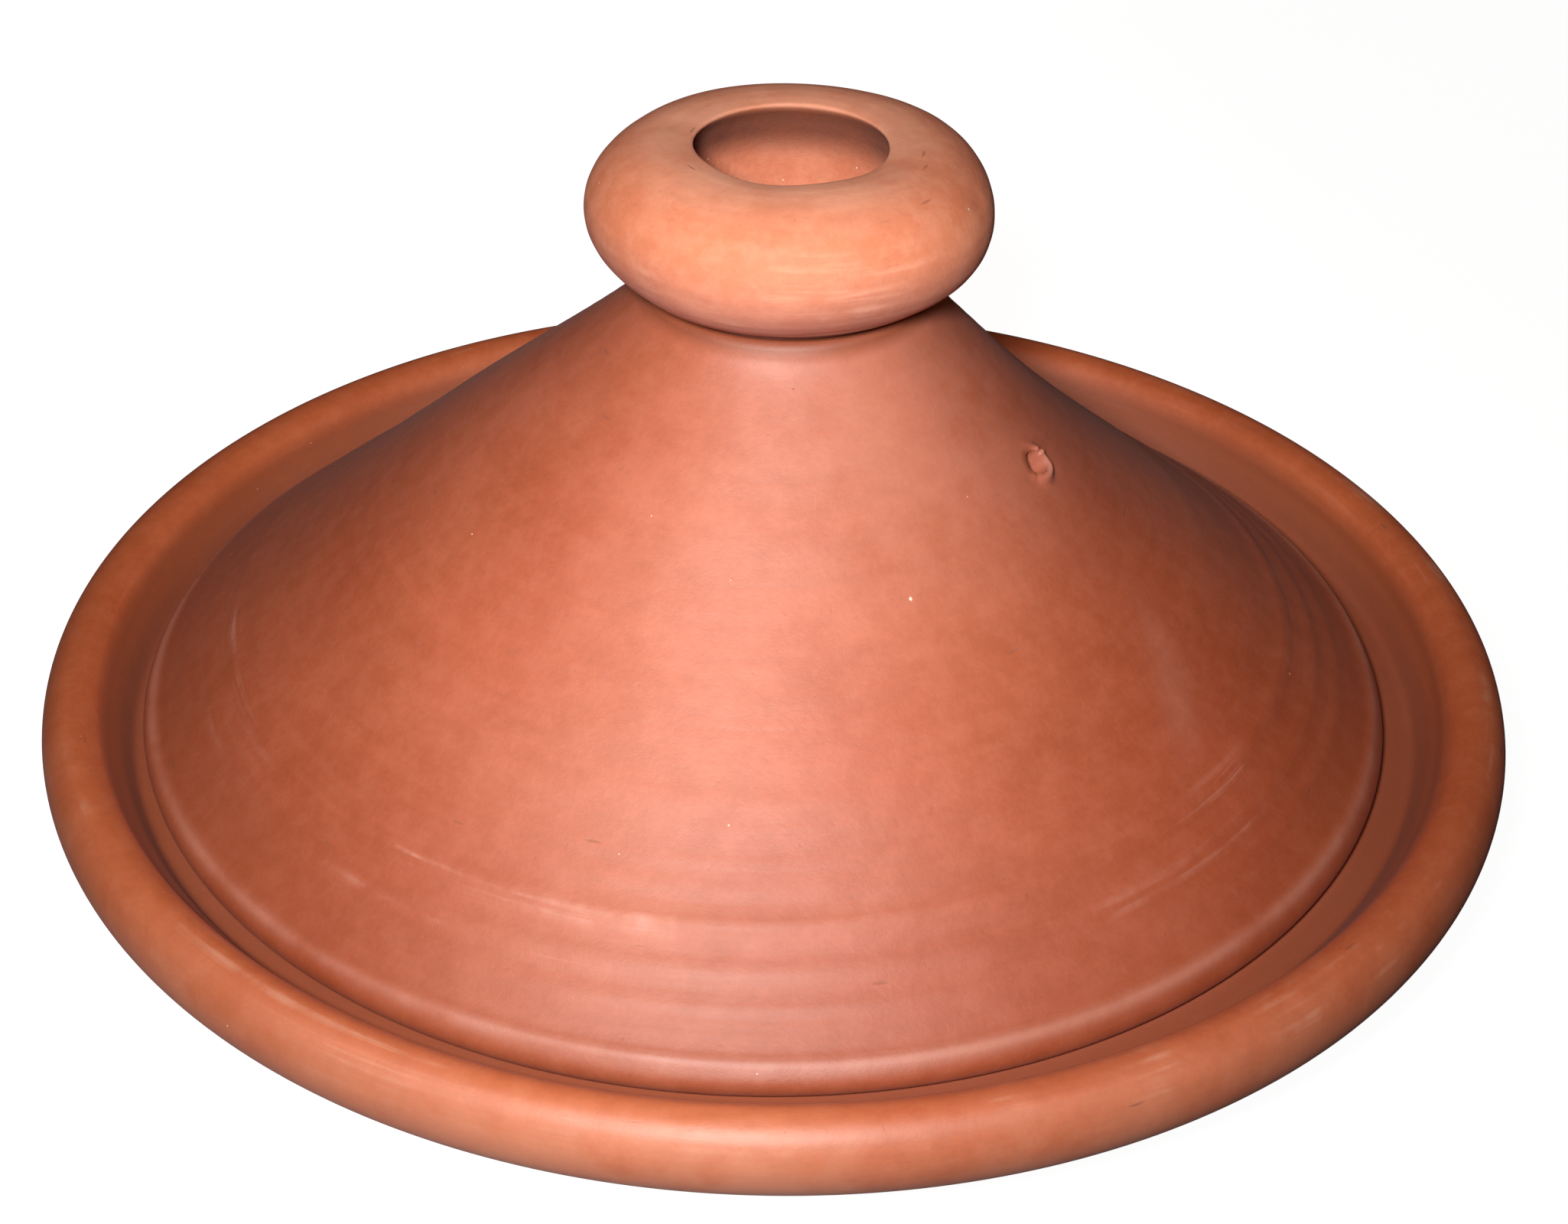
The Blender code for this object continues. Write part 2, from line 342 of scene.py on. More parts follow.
@dataclass
class Turning:
    """An outline carried round an upright axis.

    A point at distance s along the outline and angle a is at the axis, plus the outline's
    radius along the direction of a, plus its height, plus the relief times the outline's outward
    direction. The axis may drift sideways with height.
    """

    outline: Outline
    axis_x: float
    rows: int
    columns: int
    row_focus: Sequence[Focus] = ()
    column_focus: Sequence[Focus] = ()
    relief: Optional[Relief] = None
    drift: Optional[Callable[[np.ndarray], np.ndarray]] = None

    def along(self) -> np.ndarray:
        """Return the rows' distances along the outline, as a column.

        Returns:
            The distances.
        """
        count = self.rows + 1 if self.outline.closed else self.rows
        values = spread(0.0, self.outline.length, count, self.row_focus)
        return (values[:-1] if self.outline.closed else values)[:, None]

    def angles(self) -> np.ndarray:
        """Return the columns' angles, as a row."""
        return spread(-math.pi, math.pi, self.columns + 1, self.column_focus)[None, :-1]

    def points(self) -> np.ndarray:
        """Return the grid of points, rows by columns by three.

        Returns:
            The grid of points.
        """
        along, angle = self.along(), self.angles()
        flat = self.outline.at(along[:, 0])
        out = self.outline.outward(along[:, 0])
        flat_height = np.zeros((len(along), angle.shape[1]))
        height = self.relief(angle, along) if self.relief else flat_height
        radius = flat[:, :1] + out[:, :1] * height
        rise = flat[:, 1:] + out[:, 1:] * height
        shift = self.drift(rise) if self.drift else 0.0
        x = self.axis_x + shift + radius * np.cos(angle)
        return np.stack([x, radius * np.sin(angle), rise], axis=-1)

    def mesh(self, name: str, points: Optional[np.ndarray] = None) -> bpy.types.Mesh:
        """Make the closed mesh, with faces that point out and each point's distance along.

        Quads join neighbouring rows and columns. On an open outline the first and last rows
        become one point each, with a fan of triangles.

        Args:
            name: The mesh's name.
            points: The grid, if it has been worked on since points() gave it.

        Returns:
            The mesh, with the attribute "along".
        """
        grid = self.points() if points is None else points
        along = np.broadcast_to(self.along(), grid.shape[:2])
        columns = grid.shape[1]
        after = (np.arange(columns) + 1) % columns
        if self.outline.closed:
            vertices, distances = grid.reshape(-1, 3), along.reshape(-1)
            lower = np.arange(len(grid))
            upper = (lower + 1) % len(grid)
            fans = np.zeros((0, 3), dtype=int)
        else:
            poles = grid[0].mean(0)[None], grid[-1].mean(0)[None]
            vertices = np.concatenate([grid[1:-1].reshape(-1, 3), *poles])
            distances = np.concatenate([along[1:-1].reshape(-1), along[0, :1], along[-1, :1]])
            lower = np.arange(len(grid) - 3)
            upper = lower + 1
            first, last = len(vertices) - 2, len(vertices) - 1
            base, top = np.arange(columns), (len(grid) - 3) * columns + np.arange(columns)
            opening = np.stack([np.full(columns, first), base[after], base], axis=1)
            closing = np.stack([np.full(columns, last), top, top[after]], axis=1)
            fans = np.concatenate([opening, closing])
        here = np.arange(columns)
        corners = [
            lower[:, None] * columns + here,
            lower[:, None] * columns + after,
            upper[:, None] * columns + after,
            upper[:, None] * columns + here,
        ]
        quads = np.stack(corners, axis=-1).reshape(-1, 4)
        mesh = new_mesh(name, vertices, quads, fans)
        store(mesh, "along", distances)
        return mesh


def new_mesh(
    name: str, vertices: np.ndarray, quads: np.ndarray, triangles: np.ndarray
) -> bpy.types.Mesh:
    """Make a smooth-shaded mesh from arrays.

    Args:
        name: The mesh's name.
        vertices: Points, by three.
        quads: Corners of the four-sided faces.
        triangles: Corners of the three-sided faces.

    Returns:
        The mesh.
    """
    mesh = bpy.data.meshes.new(name)
    mesh.vertices.add(len(vertices))
    mesh.vertices.foreach_set("co", np.ascontiguousarray(vertices, dtype=np.float32).ravel())
    corners = np.concatenate([quads.ravel(), triangles.ravel()]).astype(np.int32)
    sizes = np.concatenate([np.full(len(quads), 4), np.full(len(triangles), 3)])
    starts = np.concatenate([[0], np.cumsum(sizes)[:-1]]).astype(np.int32)
    mesh.loops.add(len(corners))
    mesh.loops.foreach_set("vertex_index", corners)
    mesh.polygons.add(len(sizes))
    mesh.polygons.foreach_set("loop_start", starts)
    mesh.update(calc_edges=True)
    mesh.validate()
    mesh.shade_smooth()
    return mesh


def store(mesh: bpy.types.Mesh, name: str, values: np.ndarray) -> None:
    """Keep one number for each point of a mesh, as a named attribute."""
    layer = mesh.attributes.get(name) or mesh.attributes.new(name, "FLOAT", "POINT")
    layer.data.foreach_set("value", np.ascontiguousarray(values, dtype=np.float32).ravel())


def recall(mesh: bpy.types.Mesh, name: str) -> np.ndarray:
    """Return the numbers kept under a name on a mesh's points.

    Args:
        mesh: The mesh.
        name: The name the numbers are kept under.

    Returns:
        One number for each point.
    """
    values = np.zeros(len(mesh.vertices), dtype=np.float32)
    mesh.attributes[name].data.foreach_get("value", values)
    return values


def places(mesh: bpy.types.Mesh) -> np.ndarray:
    """Return a mesh's points, by three.

    Args:
        mesh: The mesh.

    Returns:
        The points.
    """
    flat = np.zeros(3 * len(mesh.vertices), dtype=np.float32)
    mesh.vertices.foreach_get("co", flat)
    return flat.reshape(-1, 3).astype(float)


def put_out(name: str, mesh: bpy.types.Mesh) -> bpy.types.Object:
    """Link a mesh into the scene as an object at the origin.

    Args:
        name: The object's name.
        mesh: Its mesh.

    Returns:
        The new object.
    """
    piece = bpy.data.objects.new(name, mesh)
    bpy.context.scene.collection.objects.link(piece)
    return piece


# ---- Node trees ----------------------------------------------------------------------------

Feed = Union[Socket, float, Sequence[float]]


class Bench:
    """Places nodes in one tree and joins them."""

    def __init__(self, tree: bpy.types.NodeTree) -> None:
        """Start with an empty tree.

        Args:
            tree: The node tree to fill.
        """
        self.tree = tree
        tree.nodes.clear()

    def feed(self, socket: Socket, value: Feed) -> None:
        """Join a socket to another, or give it a fixed value.

        Args:
            socket: The socket to feed.
            value: Another socket, or the value.
        """
        if isinstance(value, bpy.types.NodeSocket):
            self.tree.links.new(value, socket)
        else:
            socket.default_value = value

    def add(
        self, kind: str, feeds: Optional[Dict[Union[str, int], Feed]] = None, **settings: object
    ) -> bpy.types.Node:
        """Add a node.

        Args:
            kind: The node's type, without "ShaderNode".
            feeds: Values or sockets for its inputs, by name or number.
            **settings: The node's own options.

        Returns:
            The node.
        """
        node = self.tree.nodes.new(f"ShaderNode{kind}")
        for option, value in settings.items():
            setattr(node, option, value)
        for socket, value in (feeds or {}).items():
            self.feed(node.inputs[socket], value)
        return node

    def maths(self, operation: str, *terms: Feed) -> Socket:
        """Return the result of a sum on one to three numbers."""
        node = self.add("Math", dict(enumerate(terms)), operation=operation)
        return node.outputs[0]

    def vector(self, operation: str, first: Feed, second: Feed = (0.0, 0.0, 0.0)) -> Socket:
        """Return the result of a sum on vectors."""
        return self.add("VectorMath", {0: first, 1: second}, operation=operation).outputs[0]

    def between(
        self, value: Feed, low: float, high: float, start: float = 0.0, end: float = 1.0
    ) -> Socket:
        """Return start below low, end above high and a smooth ease between them.

        Args:
            value: The number to look at.
            low: Where the ease begins.
            high: Where the ease ends.
            start: The result below low.
            end: The result above high.

        Returns:
            The eased number.
        """
        feeds = {"Value": value, "From Min": low, "From Max": high}
        feeds.update({"To Min": start, "To Max": end})
        return self.add("MapRange", feeds, interpolation_type="SMOOTHSTEP").outputs["Result"]

    def noise(
        self, vector: Feed, scale: Feed, detail: float = 3.0, roughness: float = 0.55
    ) -> Socket:
        """Return a cloudy value around a half."""
        feeds = {"Vector": vector, "Scale": scale, "Detail": detail, "Roughness": roughness}
        return self.add("TexNoise", feeds).outputs["Fac"]

    def blend(self, share: Feed, first: Feed, second: Feed, way: str = "MIX") -> Socket:
        """Return two colours blended by a share.

        Args:
            share: How much of the second colour shows.
            first: The colour at zero.
            second: The colour at one.
            way: The way of blending.

        Returns:
            The blended colour.
        """
        node = self.add("Mix", data_type="RGBA", blend_type=way, clamp_factor=True)
        colours = [socket for socket in node.inputs if socket.type == "RGBA"]
        self.feed(node.inputs[0], share)
        for socket, value in zip(colours, (first, second)):
            self.feed(socket, value)
        return next(socket for socket in node.outputs if socket.type == "RGBA")

    def scaled(self, vector: Feed, share: Feed) -> Socket:
        """Return a vector times a number."""
        return self.add("VectorMath", {0: vector, "Scale": share}, operation="SCALE").outputs[0]

    def lift(self, vector: Feed, rise: Feed) -> Socket:
        """Return a vector with a number added to its third part."""
        return self.vector("ADD", vector, self.add("CombineXYZ", {"Z": rise}).outputs[0])

    def swing(self, value: Feed, reach: float) -> Socket:
        """Return a cloudy value as a change round zero, times reach."""
        return self.maths("MULTIPLY", self.maths("SUBTRACT", value, 0.5), reach)

    def mark(self, name: str) -> Socket:
        """Return the number that a piece's mesh keeps under a name."""
        return self.add("Attribute", attribute_type="GEOMETRY", attribute_name=name).outputs["Fac"]

    def group(self, tree: bpy.types.NodeTree, feeds: Dict[str, Feed]) -> bpy.types.Node:
        """Add a shared effect, with this material's own values.

        Args:
            tree: The shared effect.
            feeds: Values for its inputs.

        Returns:
            The new node.
        """
        node = self.add("Group", node_tree=tree)
        for socket, value in feeds.items():
            self.feed(node.inputs[socket], value)
        return node


def opaque(colour: Colour) -> Tuple[float, float, float, float]:
    """Return a colour with full opacity."""
    return (*colour, 1.0)


class Effects:
    """The shader groups that more than one clay shares, each built once."""

    def __init__(self) -> None:
        """Build every group."""
        self.streaks = self._streaks()
        self.clouds = self._clouds()
        self.specks = self._specks()
        self.flecks = self._flecks()
        self.grain = self._grain()

    @staticmethod
    def _tree(
        name: str, inputs: Dict[str, float], outputs: Sequence[str]
    ) -> Tuple[Bench, Sockets, Sockets]:
        """Start a group that reads a vector and some numbers and gives some numbers.

        Args:
            name: The group's name.
            inputs: Its number inputs, with their usual values.
            outputs: Its number outputs.

        Returns:
            Its bench, the sockets to read from and the sockets to fill.
        """
        tree = bpy.data.node_groups.new(name, "ShaderNodeTree")
        tree.interface.new_socket("Vector", in_out="INPUT", socket_type="NodeSocketVector")
        for label, usual in inputs.items():
            socket = tree.interface.new_socket(label, in_out="INPUT", socket_type="NodeSocketFloat")
            socket.default_value = usual
        for label in outputs:
            tree.interface.new_socket(label, in_out="OUTPUT", socket_type="NodeSocketFloat")
        bench = Bench(tree)
        start = tree.nodes.new("NodeGroupInput")
        end = tree.nodes.new("NodeGroupOutput")
        readable = {socket.name: socket for socket in start.outputs if socket.name}
        fillable = {socket.name: socket for socket in end.inputs if socket.name}
        return bench, readable, fillable

    def _streaks(self) -> bpy.types.NodeTree:
        """Build the marks of wiping on the wheel, long round the pot and narrow across it.

        The noise reads the direction out from the axis, times Wander, with the distance along
        the outline times Fineness as the third number.

        Returns:
            The node group.
        """
        inputs = {"Along": 0.0, "Fineness": 400.0, "Wander": 1.5}
        bench, read, fill = self._tree("wheel_streaks", inputs, ["Streak", "Band"])
        level = bench.vector("MULTIPLY", read["Vector"], (1.0, 1.0, 0.0))
        direction = bench.vector("NORMALIZE", level)
        swing = bench.scaled(direction, read["Wander"])
        for output, share, detail in (("Streak", 1.0, 4.0), ("Band", 0.13, 2.0)):
            fineness = bench.maths("MULTIPLY", read["Fineness"], share)
            rise = bench.maths("MULTIPLY", read["Along"], fineness)
            place = bench.lift(swing, rise)
            bench.feed(fill[output], bench.noise(place, 1.0, detail, 0.6))
        return bench.tree

    def _clouds(self) -> bpy.types.NodeTree:
        """Build slow changes of colour, as large as the hand and as large as a fingertip.

        Returns:
            The node group.
        """
        bench, read, fill = self._tree("fire_clouds", {"Size": 0.1}, ["Broad", "Patch", "Fine"])
        sizes = (("Broad", 1.0, 2.0), ("Patch", 0.22, 4.0), ("Fine", 0.05, 5.0))
        for output, share, detail in sizes:
            size = bench.maths("MULTIPLY", read["Size"], share)
            scale = bench.maths("DIVIDE", 1.0, size)
            bench.feed(fill[output], bench.noise(read["Vector"], scale, detail, 0.6))
        return bench.tree

    def _specks(self) -> bpy.types.NodeTree:
        """Build round specks: some cells of a cell pattern, each filled out to Radius.

        A cell is used where its own random number is below Share, and its speck is up to twice
        as large as its neighbour's.

        Returns:
            The node group.
        """
        inputs = {"Spacing": 0.01, "Radius": 0.0004, "Share": 0.3}
        bench, read, fill = self._tree("clay_specks", inputs, ["Mask"])
        wobble = bench.noise(read["Vector"], 1500.0, 2.0)
        nudge = bench.swing(wobble, 0.0004)
        cells = bench.add(
            "TexVoronoi",
            {"Vector": read["Vector"], "Scale": bench.maths("DIVIDE", 1.0, read["Spacing"])},
            feature="F1",
        )
        distance = bench.maths("MULTIPLY", cells.outputs["Distance"], read["Spacing"])
        gap = bench.maths("ADD", distance, nudge)
        own = bench.add("SeparateColor", {0: cells.outputs["Color"]})
        used = bench.maths("LESS_THAN", own.outputs[0], read["Share"])
        reach = bench.maths("MULTIPLY", read["Radius"], bench.maths("ADD", own.outputs[1], 0.6))
        share = bench.maths("DIVIDE", gap, reach)
        inside = bench.between(share, 0.55, 1.1, 1.0, 0.0)
        bench.feed(fill["Mask"], bench.maths("MULTIPLY", inside, used))
        return bench.tree

    def _flecks(self) -> bpy.types.NodeTree:
        """Build short marks that lie round the pot, where a tool dragged a grain of grit.

        The cell pattern reads x and y divided by Length and the distance along the outline
        divided by Width, so its cells are long round the pot.

        Returns:
            The node group.
        """
        inputs = {"Along": 0.0, "Length": 0.01, "Width": 0.002, "Share": 0.2, "Fill": 0.3}
        bench, read, fill = self._tree("dragged_flecks", inputs, ["Mask"])
        level = bench.vector("MULTIPLY", read["Vector"], (1.0, 1.0, 0.0))
        inverse = bench.maths("DIVIDE", 1.0, read["Length"])
        rise = bench.maths("DIVIDE", read["Along"], read["Width"])
        place = bench.lift(bench.scaled(level, inverse), rise)
        cells = bench.add("TexVoronoi", {"Vector": place, "Scale": 1.0}, feature="F1")
        own = bench.add("SeparateColor", {0: cells.outputs["Color"]})
        used = bench.maths("LESS_THAN", own.outputs[0], read["Share"])
        share = bench.maths("DIVIDE", cells.outputs["Distance"], read["Fill"])
        inside = bench.between(share, 0.3, 1.0, 1.0, 0.0)
        bench.feed(fill["Mask"], bench.maths("MULTIPLY", inside, used))
        return bench.tree

    def _grain(self) -> bpy.types.NodeTree:
        """Build the fine tooth of fired clay: two sizes of noise and small open pores.

        Returns:
            The node group.
        """
        bench, read, fill = self._tree("clay_grain", {"Size": 0.0012}, ["Tooth", "Pores"])
        scale = bench.maths("DIVIDE", 1.0, read["Size"])
        coarse = bench.noise(read["Vector"], scale, 4.0, 0.65)
        fine = bench.noise(read["Vector"], bench.maths("MULTIPLY", scale, 3.7), 2.0, 0.5)
        more, less = bench.maths("MULTIPLY", coarse, 0.7), bench.maths("MULTIPLY", fine, 0.3)
        bench.feed(fill["Tooth"], bench.maths("ADD", more, less))
        pore_scale = bench.maths("MULTIPLY", scale, 0.45)
        cells = bench.add("TexVoronoi", {"Vector": read["Vector"], "Scale": pore_scale})
        own = bench.add("SeparateColor", {0: cells.outputs["Color"]})
        used = bench.maths("LESS_THAN", own.outputs[2], 0.14)
        inside = bench.between(cells.outputs["Distance"], 0.05, 0.22, 1.0, 0.0)
        bench.feed(fill["Pores"], bench.maths("MULTIPLY", inside, used))
        return bench.tree


# ---- Finishes ------------------------------------------------------------------------------


@dataclass(frozen=True)
class ClayFinish:
    """How one clay piece looks: its colours, its shine and how its surface was worked.

    The mesh's marks change it from place to place: the dust mark lays on the dust's pale colour,
    partly as dust and partly as painted highlight; the grey mark is partly grey clay and partly
    painted shade; "worn" is rubbed smooth, "ridge" is scuffed pale, "raw" is coarse and unwiped,
    and "deep" lays on a darker colour, painted shade in the creases under and round the knob,
    under the cup's lip, beside the vent and near the cone's edge, and darker on the dish rim's
    inner slope. Blush is how far fingertip-sized patches turn to the dust's colour.
    """

    clay: Clay
    body: Colour
    fired: Colour
    dust: Colour
    # The grey colour is laid partly as grey clay and partly as painted shade; the deep colour
    # mostly as painted shade.
    shade_and_grey: Colour = (0.26, 0.155, 0.155)
    deep: Colour = (0.20, 0.042, 0.012)
    lime: Colour = (0.86, 0.62, 0.50)
    grit: Colour = (0.16, 0.055, 0.035)
    roughness: float = 0.62
    worn_roughness: float = 0.42
    blush: float = 0.0
    reflectivity: float = 1.0
    sheen: float = 0.10
    streak_fineness: float = 420.0
    streak_tint: float = 0.16
    streak_depth: float = 0.00006
    band_tint: float = 0.16
    cloud_size: float = 0.11
    patch_tint: float = 0.12
    tooth_tint: float = 0.22
    grain_size: float = 0.0012
    grain_depth: float = 0.00009
    lime_share: float = 0.22
    grit_share: float = 0.16

    def fire(self, effects: Effects) -> bpy.types.Material:
        """Make the material.

        Args:
            effects: The shared shader groups.

        Returns:
            The finished clay.
        """
        material = bpy.data.materials.new(self.clay.value)
        material.use_nodes = True
        bench = Bench(material.node_tree)
        place = bench.add("TexCoord").outputs["Object"]
        along = bench.mark("along")
        streaks = bench.group(
            effects.streaks, {"Vector": place, "Along": along, "Fineness": self.streak_fineness}
        ).outputs
        clouds = bench.group(effects.clouds, {"Vector": place, "Size": self.cloud_size}).outputs
        grain = bench.group(effects.grain, {"Vector": place, "Size": self.grain_size}).outputs
        lime = self._lime(bench, effects, place)
        grit = self._grit(bench, effects, place, along)
        scuff = self._scuffs(bench, streaks, clouds)
        colour = self._colour(bench, streaks, clouds, grain, lime, grit, scuff)
        roughness = self._shine(bench, streaks, clouds, grit)
        normal = self._tooth(bench, streaks, grain, lime, grit)
        shader = bench.add(
            "BsdfPrincipled",
            {
                "Base Color": colour,
                "Roughness": roughness,
                "Normal": normal,
                "IOR": 1.5,
                "Specular IOR Level": self.reflectivity,
                "Sheen Weight": self.sheen,
                "Sheen Roughness": 0.45,
                "Sheen Tint": (0.80, 0.80, 0.95, 1.0),
            },
        )
        output = bench.add("OutputMaterial")
        bench.feed(output.inputs["Surface"], shader.outputs["BSDF"])
        material.diffuse_color = opaque(self.body)
        return material

    def _lime(self, bench: Bench, effects: Effects, place: Socket) -> Socket:
        """Return where white grains of lime show, in a few sizes.

        Args:
            bench: The material's bench.
            effects: The shared effects.
            place: The place on the piece.

        Returns:
            The mask.
        """
        total: Feed = 0.0
        for spacing, radius, share in ((0.012, 0.00030, 1.0), (0.0052, 0.00018, 0.8)):
            feeds = {"Vector": place, "Spacing": spacing, "Radius": radius}
            feeds["Share"] = share * self.lime_share
            mask = bench.group(effects.specks, feeds).outputs["Mask"]
            total = bench.maths("MAXIMUM", total, mask)
        return total

    def _grit(self, bench: Bench, effects: Effects, place: Socket, along: Socket) -> Socket:
        """Return where dark grit shows, as short dragged marks and round grains.

        Args:
            bench: The material's bench.
            effects: The shared effects.
            place: The place on the piece.
            along: The distance along the outline.

        Returns:
            The mask.
        """
        feeds = {"Vector": place, "Along": along, "Length": 0.009, "Width": 0.0016, "Fill": 0.26}
        feeds["Share"] = self.grit_share
        dragged = bench.group(effects.flecks, feeds).outputs["Mask"]
        moved = bench.vector("ADD", place, (0.31, 0.17, 0.05))
        feeds = {"Vector": moved, "Spacing": 0.008, "Radius": 0.0003, "Share": self.grit_share}
        round_grains = bench.group(effects.specks, feeds).outputs["Mask"]
        return bench.maths("MAXIMUM", bench.maths("MULTIPLY", dragged, 0.75), round_grains)

    def _scuffs(self, bench: Bench, streaks: Sockets, clouds: Sockets) -> Socket:
        """Return where the ridges and the rim's crest are rubbed pale.

        Args:
            bench: The material's bench.
            streaks: The wheel streaks.
            clouds: The fire clouds.

        Returns:
            The mask.
        """
        thin = bench.between(streaks["Streak"], 0.48, 0.66)
        spread_out = bench.between(clouds["Patch"], 0.50, 0.66)
        patchy = bench.maths("MULTIPLY", thin, spread_out)
        return bench.maths("MULTIPLY", patchy, bench.mark("ridge"))

    def _colour(
        self,
        bench: Bench,
        streaks: Sockets,
        clouds: Sockets,
        grain: Sockets,
        lime: Socket,
        grit: Socket,
        scuff: Socket,
    ) -> Socket:
        """Return the clay's colour with all its changes laid on in turn.

        Args:
            bench: The material's bench.
            streaks: The wheel streaks.
            clouds: The fire clouds.
            grain: The clay's grain.
            lime: Where lime shows.
            grit: Where grit shows.
            scuff: Where it is scuffed.

        Returns:
            The colour.
        """
        broad = bench.between(clouds["Broad"], 0.36, 0.64)
        colour = bench.blend(broad, opaque(self.body), opaque(self.fired))
        shade = bench.maths("ADD", 1.0, bench.swing(clouds["Patch"], 2.0 * self.patch_tint))
        for value, tint in (
            (streaks["Streak"], self.streak_tint),
            (streaks["Band"], self.band_tint),
            (clouds["Fine"], self.patch_tint),
            (grain["Tooth"], self.tooth_tint),
        ):
            change = bench.maths("ADD", 1.0, bench.swing(value, 2.0 * tint))
            shade = bench.maths("MULTIPLY", shade, change)
        tone = bench.add("CombineColor", {0: shade, 1: shade, 2: shade}).outputs[0]
        colour = bench.blend(1.0, colour, tone, "MULTIPLY")
        blush = bench.maths("MULTIPLY", bench.between(clouds["Fine"], 0.40, 0.64), self.blush)
        colour = bench.blend(blush, colour, opaque(self.dust))
        # Laid on in turn: the dust's colour, also painted highlight; grey, also painted shade; the
        # deep colour, mostly painted shade; then pores, scuffs, grit and lime.
        layers = (
            (bench.mark("dust_and_highlight"), bench.between(clouds["Patch"], 0.30, 0.62, 0.35, 1.0), self.dust),
            (bench.mark("shade_and_grey"), bench.between(clouds["Patch"], 0.25, 0.70, 0.55, 1.0), self.shade_and_grey),
            (bench.mark("deep"), bench.between(clouds["Fine"], 0.20, 0.60, 0.80, 1.0), self.deep),
            (grain["Pores"], 0.10, self.grit),
            (scuff, 0.55, self.dust),
            (grit, 0.60, self.grit),
            (lime, 0.75, self.lime),
        )
        for mask, share, tone_laid in layers:
            colour = bench.blend(bench.maths("MULTIPLY", mask, share), colour, opaque(tone_laid))
        return colour

    def _shine(self, bench: Bench, streaks: Sockets, clouds: Sockets, grit: Socket) -> Socket:
        """Return the roughness, lower where the clay is rubbed and higher where it is raw.

        Args:
            bench: The material's bench.
            streaks: The wheel streaks.
            clouds: The fire clouds.
            grit: Where grit shows.

        Returns:
            The roughness.
        """
        patchy = bench.between(clouds["Patch"], 0.30, 0.60, 0.6, 1.0)
        worn = bench.maths("MULTIPLY", bench.mark("worn"), patchy)
        fall = bench.maths("MULTIPLY", worn, self.roughness - self.worn_roughness)
        rough = bench.maths("SUBTRACT", self.roughness, fall)
        rough = bench.maths("ADD", rough, bench.maths("MULTIPLY", bench.mark("raw"), 0.22))
        rough = bench.maths("ADD", rough, bench.swing(streaks["Streak"], 0.16))
        return bench.maths("ADD", rough, bench.maths("MULTIPLY", grit, 0.1))

    def _tooth(
        self, bench: Bench, streaks: Sockets, grain: Sockets, lime: Socket, grit: Socket
    ) -> Socket:
        """Return the normal, from relief in millimetres: streaks, grain, pores and specks.

        Args:
            bench: The material's bench.
            streaks: The wheel streaks.
            grain: The clay's grain.
            lime: Where lime stands up.
            grit: Where grit has left a pit.

        Returns:
            The normal.
        """
        coarse = bench.maths("ADD", 1.0, bench.maths("MULTIPLY", bench.mark("raw"), 2.0))
        layers = (
            (streaks["Streak"], 1000.0 * self.streak_depth),
            (bench.maths("MULTIPLY", grain["Tooth"], coarse), 1000.0 * self.grain_depth),
            (grain["Pores"], -0.02),
            (lime, 0.05),
            (grit, -0.08),
        )
        height: Feed = 0.0
        for value, depth in layers:
            height = bench.maths("ADD", height, bench.maths("MULTIPLY", value, depth))
        feeds = {"Strength": 1.0, "Distance": 0.001, "Height": height}
        return bench.add("Bump", feeds).outputs["Normal"]


FINISHES: Dict[Clay, ClayFinish] = {
    Clay.DISH: ClayFinish(
        clay=Clay.DISH,
        body=(0.48, 0.104, 0.030),
        fired=(0.42, 0.080, 0.020),
        dust=(0.60, 0.30, 0.20),
        roughness=0.62,
        worn_roughness=0.55,
        reflectivity=0.8,
        sheen=0.01,
        blush=0.05,
        streak_tint=0.08,
        streak_depth=0.00003,
        band_tint=0.06,
        grain_depth=0.00006,
        lime_share=0.10,
        grit_share=0.03,
    ),
    Clay.CONE: ClayFinish(
        clay=Clay.CONE,
        body=(0.33, 0.067, 0.022),
        fired=(0.30, 0.050, 0.012),
        dust=(0.50, 0.24, 0.18),
        roughness=0.62,
        reflectivity=0.8,
        sheen=0.01,
        blush=0.05,
        streak_tint=0.07,
        streak_depth=0.00002,
        band_tint=0.06,
        grain_depth=0.00007,
        lime_share=0.12,
        grit_share=0.02,
    ),
    Clay.LUTING: ClayFinish(
        clay=Clay.LUTING,
        body=(0.26, 0.065, 0.030),
        fired=(0.20, 0.045, 0.020),
        dust=(0.40, 0.20, 0.14),
        roughness=0.80,
        grain_depth=0.00020,
    ),
    Clay.KNOB: ClayFinish(
        clay=Clay.KNOB,
        body=(0.57, 0.168, 0.078),
        fired=(0.54, 0.148, 0.060),
        dust=(0.72, 0.38, 0.26),
        # A darker deep colour, for the painted shadow under the cup's lip and at the base.
        deep=(0.10, 0.020, 0.008),
        roughness=0.80,
        worn_roughness=0.66,
        reflectivity=0.5,
        sheen=0.01,
        blush=0.14,
        streak_fineness=520.0,
        streak_tint=0.06,
        streak_depth=0.00003,
        band_tint=0.05,
        lime_share=0.30,
        grit_share=0.05,
    ),
}


# ---- The pot's pieces ----------------------------------------------------------------------


